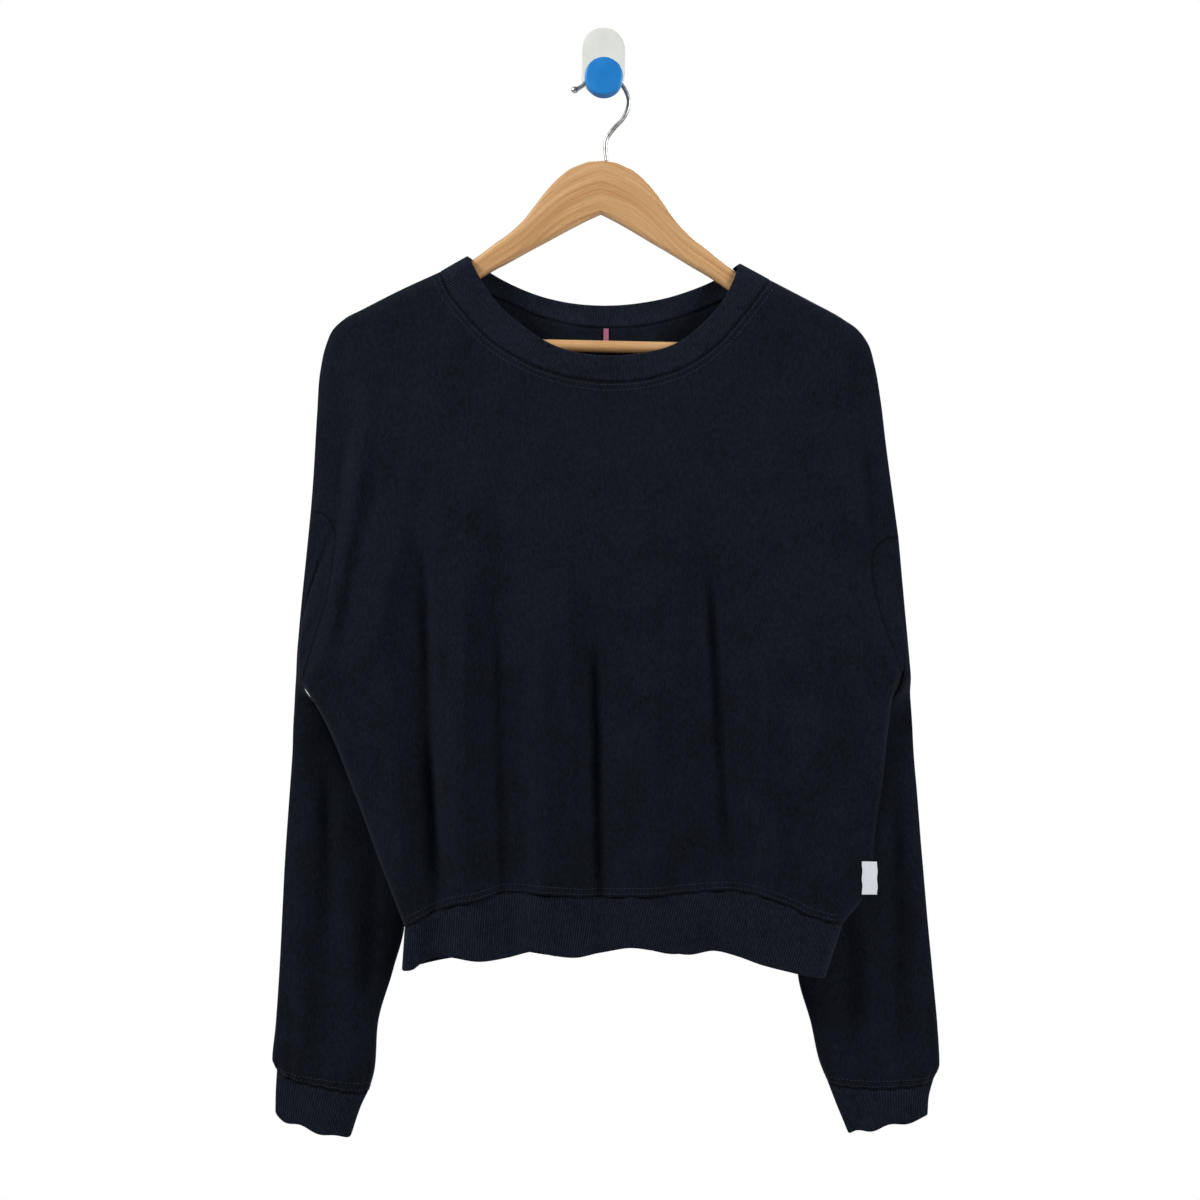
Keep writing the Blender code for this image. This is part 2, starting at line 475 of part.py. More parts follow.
# ---------------------------------------------------------------- sleeves and cuffs
RING_FRACTIONS = np.concatenate([ARMHOLE_FRACTIONS, 2.0 - ARMHOLE_FRACTIONS[::-1][1:-1]])


def tube_section(row, layer, first=None):
    """One ring of a flattened tube: outer edge, forward half, inner edge, back half.

    The ring may keep a share of the first ring's spacing, and its back half the same share of the
    first ring's own curve away from its chord.
    """
    (outer_x, outer_drop, inner_x, inner_drop, outer_front, inner_front,
     forward, backward, sag, keep, wall) = row
    wall = wall * layer
    angle = math.pi * RING_FRACTIONS
    ahead = RING_FRACTIONS <= 1.0
    weight = (1.0 - keep) * (0.5 + 0.5 * np.cos(angle)) + keep * np.abs(1.0 - RING_FRACTIONS)
    lift = (2.0 * np.sqrt(weight * (1.0 - weight))) ** TUBE_FLATNESS
    weight = weight[:, None]
    ends = np.array([[outer_x, outer_drop, outer_front], [inner_x, inner_drop, inner_front]])
    chord = ends[1] - ends[0]
    chord /= np.linalg.norm(chord)
    ends = ends + wall * np.array([chord, -chord])
    ring = weight * ends[0] + (1.0 - weight) * ends[1]
    ring[:, 2] += np.where(ahead, (forward - wall) * lift, -(backward - wall) * lift)
    ring[:, 1] += sag * lift
    if keep > 0.0:
        turn = int(np.argmax(RING_FRACTIONS >= 1.0))
        straight = weight * first[0] + (1.0 - weight) * first[turn]
        ring[:, :2] += keep * np.where(ahead[:, None], 0.0, (first - straight)[:, :2])
    return ring


def armhole_ring(front, back, side, layer):
    """The sleeve's first ring, and the way off the panels there.

    The ring follows the panels' armhole edges, moved off them by the seam gap.
    """
    edge, beside = (0, 1) if side == "left" else (-1, -2)
    rows = slice(ROWS_ARM, ROWS_ARM + ROWS_ARMHOLE + 1)
    halves = []
    for panel in (front, back):
        away = panel[0][rows, edge] - panel[0][rows, beside]
        away /= np.linalg.norm(away, axis=1, keepdims=True)
        halves.append((panel[layer][rows, edge] + ARMHOLE_GAP[side] * away, away))
    rings = []
    for forward, behind in zip(*halves):
        ends = 0.5 * (forward[[0, -1]] + behind[[0, -1]])
        rings.append(np.vstack([ends[:1], forward[1:-1], ends[1:], behind[1:-1][::-1]]))
    away = rings[1] / np.linalg.norm(rings[1], axis=1, keepdims=True)
    ends = [0, ROWS_ARMHOLE]
    rings[0][ends] += ARMHOLE_END_GAP[side] * away[ends]
    return rings[0], away


def loft(sections, places):
    """Smooth tube through its sections, with a ring at each place counted in sections."""
    sections = np.asarray(sections)
    gaps = np.linalg.norm(np.diff(sections, axis=0), axis=2).mean(axis=1)
    along = np.concatenate([[0.0], np.cumsum(gaps)])
    at = np.interp(places, np.arange(len(along)), along)
    return hermite(along, sections, at, held=True)


def make_sleeve(front, back, side):
    """Outer and inner grids of a sleeve, from the armhole to the cuff's seam."""
    grids = []
    swing = np.abs(np.sin(math.pi * RING_FRACTIONS))[:, None]
    behind = np.where(RING_FRACTIONS > 1.0, swing[:, 0], 0.0)
    seam, away = armhole_ring(front, back, side, 0)
    run, fall_back = SEAM_TURN[side]
    for layer in (0, 1):
        first = armhole_ring(front, back, side, layer)[0]
        rings = [tube_section(row, layer, seam) for row in SLEEVE[side]]
        onward = rings[0] - first
        onward /= np.linalg.norm(onward, axis=1).mean()
        turned_off = first + run * (swing * away + (1.0 - swing) * onward)
        turned_off[:, 2] -= fall_back * behind
        lower = np.linspace(CLOSE_SECTIONS, len(rings) + 1, LOWER_RINGS)
        grids.append(loft([first, turned_off] + rings, np.concatenate([np.arange(CLOSE_SECTIONS), lower])))
    return grids[0], grids[1]


def make_cuff(side):
    """Outer and inner grids of a cuff, from a seam gap below the sleeve's last ring to its edge."""
    grids = []
    for layer in (0, 1):
        top = tube_section(SLEEVE[side][-1][:-1] + (RIB_CLOTH,), layer)
        rest = [tube_section(row, layer) for row in CUFF[side]]
        down = rest[0] - top
        top = top + CUFF_GAP * down / np.linalg.norm(down, axis=1, keepdims=True)
        grids.append(loft([top] + rest, np.linspace(0.0, len(rest), BAND_ROWS + 1)))
    return grids[0], grids[1]


# ---------------------------------------------------------------- mesh makers
def to_world(points):
    """(x, drop, front) in mm to world metres."""
    points = np.asarray(points, float)
    world = np.stack([points[..., 0], -WALL_TO_HANGER - points[..., 2], HANGER_TOP - points[..., 1]], axis=-1)
    return world * MM


def linear(hexcode):
    """sRGB hex colour to linear RGBA."""
    channels = [int(hexcode[i:i + 2], 16) / 255.0 for i in (1, 3, 5)]
    return [c / 12.92 if c <= 0.04045 else ((c + 0.055) / 1.055) ** 2.4 for c in channels] + [1.0]


def make_material(name, finish):
    colour, roughness, metallic = COLOURS[finish]
    material = bpy.data.materials.new(name)
    material.use_nodes = True
    shader = material.node_tree.nodes["Principled BSDF"]
    shader.inputs["Base Color"].default_value = linear(colour)
    shader.inputs["Roughness"].default_value = roughness
    shader.inputs["Metallic"].default_value = metallic
    material.diffuse_color = linear(colour)
    return material


def add_object(name, verts, faces, finish, sharp=50.0):
    """A closed mesh object from world points, with its faces turned outwards."""
    mesh = bpy.data.meshes.new(name)
    mesh.from_pydata([tuple(v) for v in verts], [], [tuple(int(i) for i in face) for face in faces])
    work = bmesh.new()
    work.from_mesh(mesh)
    bmesh.ops.recalc_face_normals(work, faces=work.faces)
    work.to_mesh(mesh)
    work.free()
    mesh.shade_smooth()
    mesh.set_sharp_from_angle(angle=math.radians(sharp))
    mesh.materials.append(make_material(name + "_material", finish))
    item = bpy.data.objects.new(name, mesh)
    bpy.context.scene.collection.objects.link(item)
    return item


def grid_faces(index, wrap):
    """Quads between neighbouring rows of an index grid, closed across when wrap is set."""
    if wrap:
        index = np.hstack([index, index[:, :1]])
    return np.stack([index[:-1, :-1], index[:-1, 1:], index[1:, 1:], index[1:, :-1]], axis=-1).reshape(-1, 4)


def halves_of(quads):
    """Two triangles for each quad, cut from its first corner to its third."""
    return np.concatenate([quads[:, [0, 1, 2]], quads[:, [0, 2, 3]]])


def add_wall(name, outer, inner, finish, wrap=False):
    """A cloth wall: outer and inner grids joined round their open edges, all in triangles."""
    rows, columns = outer.shape[:2]
    count = rows * columns
    index = np.arange(count).reshape(rows, columns)
    quads = grid_faces(index, wrap)
    faces = [halves_of(quads), halves_of(quads + count)[:, ::-1]]
    rims = [index[0], index[-1][::-1]]
    if wrap:
        rims = [np.append(index[0], index[0, 0]), np.append(index[-1], index[-1, 0])[::-1]]
    else:
        rims += [index[:, -1], index[::-1, 0]]
    for rim in rims:
        faces.append(halves_of(np.stack([rim[:-1], rim[:-1] + count, rim[1:] + count, rim[1:]], axis=-1)))
    points = to_world(np.concatenate([outer.reshape(-1, 3), inner.reshape(-1, 3)]))
    return add_object(name, points, np.concatenate(faces), finish)


def add_rings(name, rings, finish, sharp=40.0):
    """A solid through closed world-space rings of equal length, capped at both ends."""
    rings = np.asarray(rings)
    rows, columns = rings.shape[:2]
    index = np.arange(rows * columns).reshape(rows, columns)
    faces = [tuple(face) for face in grid_faces(index, True)]
    faces += [tuple(index[0]), tuple(index[-1][::-1])]
    return add_object(name, rings.reshape(-1, 3), faces, finish, sharp)


def turned(name, axis_xz, profile, sides, finish):
    """A solid turned round an axis square to the wall: profile rows are distance from wall, radius."""
    angle = np.linspace(0.0, 2.0 * math.pi, sides, endpoint=False)
    rings = [np.stack([axis_xz[0] + radius * np.cos(angle),
                       np.full(sides, -out),
                       axis_xz[1] + radius * np.sin(angle)], axis=1) * MM for out, radius in profile]
    return add_rings(name, rings, finish)


# ---------------------------------------------------------------- hanger, hook and peg
def tilted(x, height, out):
    """Hanger coordinates, with height above its top, to world metres, turned by the hanger's tilt."""
    cosine, sine = math.cos(HANGER_TILT), math.sin(HANGER_TILT)
    world_x = HANGER_MIDDLE_X + x * cosine + height * sine
    world_z = HANGER_TOP - x * sine + height * cosine
    return np.stack([world_x, -WALL_TO_HANGER - out, world_z], axis=-1) * MM


def make_hanger():
    """The bent wooden body: rounded upright sections from one arm's tip to the other's."""
    arm = np.asarray(HANGER_ARM)
    right = arm[1:]
    left = arm[::-1] * [-1.0, 1.0, 1.0]
    corner = np.linspace(0.0, 0.5 * math.pi, 3)
    rings = []
    for x, upper, lower in np.vstack([left, right]):
        rounding = min(HANGER_EDGE_ROUND, 0.45 * (lower - upper))
        flat_half = 0.5 * HANGER_THICK - rounding
        out = np.concatenate([flat_half + rounding * np.sin(corner),
                              flat_half + rounding * np.cos(corner),
                              -flat_half - rounding * np.sin(corner),
                              -flat_half - rounding * np.cos(corner)])
        height = np.concatenate([-upper - rounding + rounding * np.cos(corner),
                                 -lower + rounding - rounding * np.sin(corner),
                                 -lower + rounding - rounding * np.cos(corner),
                                 -upper - rounding + rounding * np.sin(corner)])
        rings.append(tilted(np.full(len(out), x), height, out))
    return add_rings("hanger_body", rings, "wood")


def make_bar():
    """The round trouser bar between the arms' end blocks."""
    reach = BLOCK_INNER_X - SEAM_GAP
    angle = np.linspace(0.0, 2.0 * math.pi, SIDES["bar"], endpoint=False)
    height = -BAR_DROP + BAR_RADIUS * np.cos(angle)
    rings = [tilted(np.full(SIDES["bar"], x), height, BAR_RADIUS * np.sin(angle))
             for x in np.linspace(-reach, reach, BAR_RINGS)]
    return add_rings("trouser_bar", rings, "wood")


def make_hook():
    """The steel wire hook with a ball at its tip, in the hanger's middle plane."""
    path = curve(HOOK_WIRE, np.linspace(0.0, 1.0, HOOK_RINGS))
    heading = np.gradient(path, axis=0)
    heading /= np.linalg.norm(heading, axis=1, keepdims=True)
    square = np.stack([-heading[:, 1], heading[:, 0]], axis=1)
    length = np.concatenate([[0.0], np.cumsum(np.linalg.norm(np.diff(path, axis=0), axis=1))])
    to_end = length[-1] - length
    ball = np.sqrt(np.clip(WIRE_TIP_RADIUS ** 2 - (to_end - WIRE_TIP_RADIUS) ** 2, 0.0, None))
    radius = np.maximum(WIRE_RADIUS, ball)
    radius[-1] = WIRE_END_RADIUS
    angle = np.linspace(0.0, 2.0 * math.pi, SIDES["hook"], endpoint=False)
    rings = []
    for middle, side, size in zip(path, square, radius):
        ring = np.zeros((SIDES["hook"], 3))
        ring[:, :2] = middle + size * np.cos(angle)[:, None] * side
        ring[:, 2] = size * np.sin(angle)
        rings.append(to_world(ring))
    return add_rings("hook_wire", rings, "steel")


def make_peg():
    """The wall peg: stadium plate, stem and round head."""
    half_width = 0.5 * PLATE_WIDTH
    straight = 0.5 * (PLATE_HEIGHT - PLATE_WIDTH)
    angle = np.linspace(0.0, 2.0 * math.pi, SIDES["plate"], endpoint=False)
    rise = np.where(np.sin(angle) >= 0.0, straight, -straight)
    rings = []
    for behind, inset in PLATE_EDGE:
        radius = half_width - inset
        rings.append(np.stack([radius * np.cos(angle), np.full(SIDES["plate"], behind - PLATE_THICK),
                               rise + radius * np.sin(angle)], axis=1) * MM)
    add_rings("peg_plate", rings, "grey_plastic")
    turned("peg_stem", STEM_PLACE,
           [(PLATE_THICK + SEAM_GAP, STEM_RADIUS), (HEAD_BACK - SEAM_GAP, STEM_RADIUS)],
           SIDES["stem"], "grey_plastic")
    front = HEAD_BACK + HEAD_THICK
    turned("peg_head", HEAD_PLACE, [(front - behind, HEAD_RADIUS - inset) for behind, inset in HEAD_EDGE],
           SIDES["head"], "blue_plastic")


# ---------------------------------------------------------------- trims
def make_label():
    """The folded white side label: lies on the front's edge and stands out past the side seam."""
    drop = np.linspace(LABEL_TOP, LABEL_TOP + LABEL_HEIGHT, LABEL_POINTS)
    across = np.linspace(0.0, LABEL_WIDTH, LABEL_POINTS)
    base = np.stack([np.full(LABEL_POINTS, LABEL_INNER_X), drop], axis=1)
    on_cloth = body_surface(base[None], 1, CLOTH)[0][0, :, 2].max()
    lifted = on_cloth + LABEL_THICK
    back = np.zeros((LABEL_POINTS, LABEL_POINTS, 3))
    back[..., 0] = LABEL_INNER_X + across[None, :]
    back[..., 1] = drop[:, None]
    back[..., 2] = lifted - LABEL_THICK + LABEL_CURL * (across[None, :] ** 2)
    face = back + [0.0, 0.0, LABEL_THICK]
    add_wall("side_label", face, back, "label")


def make_neck_tab():
    """A short tape hanging from the back neck seam on the inside of the back."""
    drop = np.linspace(TAB_TOP, TAB_TOP + TAB_HEIGHT, TAB_ROWS)
    x = np.linspace(TAB_X - 0.5 * TAB_WIDTH, TAB_X + 0.5 * TAB_WIDTH, 3)
    plan = np.stack(np.meshgrid(x, drop), axis=-1)
    inside = body_surface(plan, -1, CLOTH)[1]
    back = inside + [0.0, 0.0, SEAM_GAP]
    add_wall("neck_tab", back + [0.0, 0.0, TAB_THICK], back, "tape")


def build():
    """Every piece of the garment, then what holds it."""
    front = make_panel(1)
    back = make_panel(-1)
    add_wall("front", *front, "jersey")
    add_wall("back", *back, "jersey")
    for side in ("left", "right"):
        add_wall("sleeve_" + side, *make_sleeve(front, back, side), "jersey", wrap=True)
        add_wall("cuff_" + side, *make_cuff(side), "rib", wrap=True)
    add_wall("neckband", *make_neckband(), "rib", wrap=True)
    add_wall("hem_band", *make_hem_band(), "rib", wrap=True)
    make_label()
    make_neck_tab()
    make_hanger()
    make_bar()
    make_hook()
    make_peg()


build()
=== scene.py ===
"""Dark navy crew-neck sweatshirt on a wooden hanger, hung from a round-headed wall peg.

The frame: x to the right as the front is seen, y into the wall, z up, origin in the middle of the
peg plate's back face. Shapes are worked out in millimetres and become metres when a mesh is made.
A place on the garment is (x, drop, front): drop is measured down from the top of the hanger's
middle, and front is measured out from the hanger's middle plane towards the viewer. Each cloth
piece is a closed wall: an outer grid and an inner grid, joined round their open edges.
"""

import math

import bpy
import numpy as np
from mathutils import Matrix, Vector


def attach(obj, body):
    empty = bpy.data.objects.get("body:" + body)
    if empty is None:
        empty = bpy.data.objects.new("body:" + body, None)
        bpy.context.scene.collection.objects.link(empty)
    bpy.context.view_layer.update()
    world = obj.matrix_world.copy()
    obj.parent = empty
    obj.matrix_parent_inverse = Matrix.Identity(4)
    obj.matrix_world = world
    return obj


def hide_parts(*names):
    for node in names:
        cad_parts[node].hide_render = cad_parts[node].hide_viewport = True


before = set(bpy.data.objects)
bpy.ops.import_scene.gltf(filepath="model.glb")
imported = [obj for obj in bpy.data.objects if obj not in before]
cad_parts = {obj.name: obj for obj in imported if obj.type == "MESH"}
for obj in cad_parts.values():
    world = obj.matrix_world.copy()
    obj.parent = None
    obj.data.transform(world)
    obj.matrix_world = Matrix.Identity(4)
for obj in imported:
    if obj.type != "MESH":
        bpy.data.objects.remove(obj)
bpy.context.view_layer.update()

MM = 0.001

# ---------------------------------------------------------------- driving dimensions, in mm
WALL_TO_HANGER = 42.0      # wall face to the hanger's middle plane
HANGER_TOP = -92.3         # height of the hanger's top, with the peg plate's middle at 0
CLOTH = 2.0                # wall of the brushed-back jersey
RIB_CLOTH = 2.4            # wall of the doubled rib bands
ARMHOLE_GAP = 0.02         # between a sleeve and the panels round its armhole
ARMHOLE_END_GAP = 0.05     # what the armhole's two ends add to it
EDGE_ROUND = {"shoulder": 11.0, "side": 15.0}    # how far inside a fold edge the cloth has turned flat

COLUMNS_SHOULDER = 54      # grid cells along each shoulder
COLUMNS_NECK = 96          # along the neck seam, front or back
ROWS_ARM = 42              # down the arm's fold edge, above the sleeve
ROWS_ARMHOLE = 58          # down the armhole
ROWS_SIDE = 72             # down the side seam
SLEEVE_RINGS = 190         # from the armhole to the cuff
BAND_ROWS = 16             # from a band's or a cuff's seam to its edge
CURVE_DETAIL = 40          # points worked out between two knots of a curve
CROWDING = {               # share of a line by each end where cells crowd, and how strongly
    "columns": (0.045, 3.2), "neck": (0.05, 6.0), "shoulder": (0.12, 2.5),
    "arm": (0.2, 4.5), "armhole": (0.15, 1.0), "band": (0.08, 3.0)}
NECK_BULGE = 0.5           # how far the middle of the neckband's depth stands out
HEM_BULGE = -0.4           # the same of the hem band, which draws in
FRONT, BACK = 1, -1        # the two faces of the body, as the way their cloth stands out
SIDES = ("left", "right")  # as the photograph shows them

HANGER_MIDDLE_X = -0.9
HANGER_TILT = math.radians(1.2)
HANGER_THICK = 12.0
HANGER_EDGE_ROUND = 4.5
BAR_DROP = 156.0
BAR_RADIUS = 5.2
BLOCK_INNER_X = 188.0      # inner face of the arm's end block, which carries the bar
ARM_RINGS = 110
BLOCK_RINGS = 24
CORNER_POINTS = 7          # along each quarter-round edge of the wood and the peg
BAR_RINGS = 60
BAR_SIDES = 32
HOOK_RINGS = 220
HOOK_SIDES = 24
PEG_SIDES = 96

WIRE_RADIUS = 1.8
WIRE_TIP_RADIUS = 2.9
WIRE_END_RADIUS = 0.5      # of the small flat that closes the tip's ball

PLATE_WIDTH = 37.8
PLATE_HEIGHT = 58.4
PLATE_THICK = 6.0
PLATE_CHAMFER = 0.3        # round the face that lies on the wall
STEM_RADIUS = 4.0
STEM_PLACE = (0.5, -23.5)  # x and z of the stem's axis
HEAD_PLACE = (0.6, -26.0)
HEAD_RADIUS = 15.9
HEAD_BACK = 50.0           # distance of the head's back face from the wall
HEAD_THICK = 16.0
EASED_EDGE = 1.6           # radius of the plate's edge, the stem's fillet and the head's back edge
HEAD_FRONT_EDGE = 2.0
HEAD_FLAT_INSET = 4.0      # from the head's side to the ring that closes its face

# ---------------------------------------------------------------- outlines: (x, drop)
NECK_POINT = {"left": (-137.0, 93.2), "right": (140.2, 100.0)}      # neck seam on the shoulder line
COLLAR_POINT = {"left": (-113.4, 79.8), "right": (114.3, 86.0)}     # collar's edge, same line
SHOULDER = {    # from the neck seam along the shoulder, round the hanger's tip and down to the sleeve
    "left": [NECK_POINT["left"], (-170.6, 108.6), (-200.8, 124.0), (-217.0, 132.6), (-227.0, 142.0),
             (-233.0, 155.5), (-237.5, 176.0), (-240.3, 213.4), (-243.7, 272.2), (-245.4, 294.9)],
    "right": [NECK_POINT["right"], (172.0, 116.6), (202.4, 133.4), (213.5, 141.4), (222.8, 154.0),
              (228.0, 171.4), (233.0, 200.0), (237.6, 238.6), (243.0, 280.0), (247.7, 315.9)],
}
TIP_FRACTION = {"left": 0.376, "right": 0.352}      # where the hanger's tip turns the shoulder line down
ARMHOLE_FRONT = {   # from the drop-shoulder seam down to the armpit
    "left": [(-245.4, 294.9), (-233.5, 297.2), (-225.0, 307.5), (-225.2, 331.0), (-231.9, 372.2),
             (-240.3, 399.9), (-251.5, 438.5)],
    "right": [(247.7, 315.9), (236.5, 318.2), (226.5, 327.0), (224.0, 343.6), (226.4, 359.6),
              (233.8, 387.3), (249.6, 430.0)],
}
ARMHOLE_BACK = {
    "left": [(-245.4, 294.9), (-238.0, 305.0), (-235.0, 325.0), (-235.0, 350.0), (-237.5, 385.0),
             (-242.0, 410.0), (-251.5, 438.5)],
    "right": [(247.7, 315.9), (240.0, 324.0), (237.0, 340.0), (236.5, 362.0), (238.0, 385.0),
              (242.0, 405.0), (249.6, 430.0)],
}
SIDE_SEAM = {       # from the armpit down to the hem band's seam
    "left": [(-251.5, 438.5), (-236.0, 463.0), (-208.4, 527.0), (-183.4, 594.0), (-165.2, 640.8)],
    "right": [(249.6, 430.0), (243.0, 446.0), (238.2, 474.6), (233.5, 515.0), (226.8, 560.0),
              (219.5, 612.0), (199.5, 638.0)],
}
HEM_CORNER = {"left": (-167.6, 677.0), "right": (184.9, 683.0)}     # where the band's edge meets the side
NECK_FRONT = [NECK_POINT["left"], (-127.9, 113.1), (-114.6, 129.8), (-99.5, 146.5), (-82.0, 159.9),
              (-56.9, 173.3), (-27.7, 182.5), (5.8, 186.6), (39.2, 183.3), (72.6, 171.6),
              (97.7, 152.4), (116.1, 131.5), (129.0, 114.8), NECK_POINT["right"]]
COLLAR_FRONT = [COLLAR_POINT["left"], (-101.1, 102.5), (-88.6, 120.1), (-69.4, 137.6), (-46.0, 153.4),
                (-23.5, 161.6), (0.7, 164.3), (30.8, 162.6), (60.0, 154.6), (85.0, 135.9),
                (99.2, 119.2), (107.5, 104.5), COLLAR_POINT["right"]]
NECK_BACK = [NECK_POINT["left"], (-112.0, 104.5), (-82.9, 116.8), (-53.3, 129.4), (-23.7, 136.8),
             (0.8, 138.9), (39.7, 136.3), (73.5, 127.4), (107.0, 113.6), NECK_POINT["right"]]
COLLAR_BACK = [COLLAR_POINT["left"], (-89.7, 96.0), (-61.8, 109.3), (-28.0, 118.0), (0.8, 120.3),
               (31.2, 118.0), (65.0, 110.6), (94.6, 98.6), COLLAR_POINT["right"]]
HEM_SEAM_FRONT = [SIDE_SEAM["left"][-1], (-147.7, 631.7), (-127.0, 622.6), (-104.6, 618.0), (-83.1, 612.4),
                  (-46.6, 612.6), (-16.7, 615.8), (14.0, 615.1), (44.7, 613.5), (80.3, 611.0),
                  (119.3, 611.0), (152.5, 622.5), (174.1, 632.0), SIDE_SEAM["right"][-1]]
HEM_EDGE_FRONT = [HEM_CORNER["left"], (-158.5, 675.0), (-147.0, 667.6), (-128.7, 664.9), (-98.8, 668.0),
                  (-78.9, 665.7), (-54.0, 659.6), (-41.0, 663.0), (-23.3, 665.3), (-2.6, 662.0),
                  (22.0, 656.9), (50.5, 659.9), (70.4, 662.4), (92.0, 660.2), (112.0, 664.1),
                  (133.0, 671.4), (156.0, 678.0), HEM_CORNER["right"]]
HEM_SEAM_BACK = [SIDE_SEAM["left"][-1], (-130.0, 627.0), (-85.0, 615.0), (-40.0, 617.0), (10.0, 612.0),
                 (60.0, 616.0), (110.0, 613.0), (160.0, 626.0), SIDE_SEAM["right"][-1]]
HEM_EDGE_BACK = [HEM_CORNER["left"], (-130.0, 668.0), (-85.0, 662.0), (-40.0, 666.0), (10.0, 659.0),
                 (60.0, 665.0), (110.0, 661.0), (150.0, 671.0), HEM_CORNER["right"]]
PANEL_LINES = {
    FRONT: (NECK_FRONT, ARMHOLE_FRONT, HEM_SEAM_FRONT),
    BACK: (NECK_BACK, ARMHOLE_BACK, HEM_SEAM_BACK)}
NECKBAND_LINES = {FRONT: (NECK_FRONT, COLLAR_FRONT), BACK: (NECK_BACK, COLLAR_BACK)}      # seam, free edge
HEM_BAND_LINES = {FRONT: (HEM_SEAM_FRONT, HEM_EDGE_FRONT), BACK: (HEM_SEAM_BACK, HEM_EDGE_BACK)}

# ---------------------------------------------------------------- depths
SEAM_FRONT = [   # drop, front of the shoulder line and the side seam
    (60.0, 0.0), (200.0, 0.0), (295.0, 2.0), (380.0, 7.0), (440.0, 12.0), (530.0, 15.0),
    (640.0, 17.0), (700.0, 17.0)]
CHEST_FRONT = [  # drop, front of the front panel inside the arm ridges
    (60.0, 10.6), (165.0, 10.6), (250.0, 15.0), (350.0, 20.0), (440.0, 24.0), (560.0, 27.0),
    (640.0, 29.0), (700.0, 28.0)]
ARM_DEPTH = [    # drop, how far the cloth outside the ridges stands before the seam's line
    (60.0, 10.6), (150.0, 9.5), (200.0, 7.0), (295.0, 6.0), (440.0, 6.0), (700.0, 6.0)]
BACK_DEPTH = [   # drop, half-depth of the back panel by the side, and the fullness added at its middle
    (60.0, 10.6, 0.0), (165.0, 10.6, 0.5), (295.0, 10.0, 3.0), (380.0, 9.0, 6.0), (440.0, 7.5, 9.0),
    (530.0, 7.0, 11.0), (640.0, 7.0, 12.0), (700.0, 7.0, 11.0)]
BACK_FULL_WIDTH = 105.0
ARM_RIDGE = [    # drop, x of the left ridge and of the right ridge, from hanger tip to armpit
    (60.0, -230.0, 225.0), (140.0, -214.0, 208.0), (178.0, -205.2, 204.5), (218.0, -201.5, 206.5),
    (253.0, -206.8, 208.0), (290.0, -210.2, 209.8), (327.0, -216.0, 212.4), (372.0, -223.5, 220.5),
    (400.0, -232.6, 232.0), (420.0, -240.1, 242.0), (440.0, -251.0, 254.0), (475.0, -275.0, 275.0),
    (700.0, -290.0, 290.0)]
RIDGE_SOFTNESS = 19.0      # width over which the cloth rises to the chest's depth
RIDGE_OUTSIDE = 13.0       # how far outside the ridge's line that rise starts
FOLD_FADE = 95.0           # length over which a fold grows from nothing
FOLD_END = 640.0           # the drop at which a fold's lower x is given
FOLDS = {FRONT: [  # top x, top drop, x at the hem seam, depth (forward positive), half-width
    (-162.0, 250.0, -143.7, -5.5, 14.0), (-122.0, 330.0, -112.0, 4.0, 15.0),
    (-89.0, 265.0, -77.0, -5.0, 13.0), (-58.0, 360.0, -48.0, 4.5, 12.0),
    (-11.0, 340.0, -2.6, -7.5, 15.0), (36.0, 380.0, 40.0, 4.5, 15.0),
    (85.0, 250.0, 94.0, -6.5, 13.0), (132.0, 400.0, 124.0, 3.5, 13.0),
    (147.0, 480.0, 153.0, -4.0, 12.0), (156.0, 190.0, 229.0, -5.0, 16.0),
    (-196.0, 300.0, -160.0, 3.0, 16.0)], BACK: [
    (-150.0, 300.0, -125.0, -4.0, 15.0), (-105.0, 330.0, -86.0, 3.5, 14.0),
    (-58.0, 280.0, -42.0, -5.5, 14.0), (-12.0, 350.0, 6.0, 5.0, 16.0),
    (44.0, 270.0, 54.0, -6.0, 14.0), (92.0, 340.0, 104.0, 4.0, 15.0),
    (140.0, 290.0, 150.0, -4.5, 14.0)]}

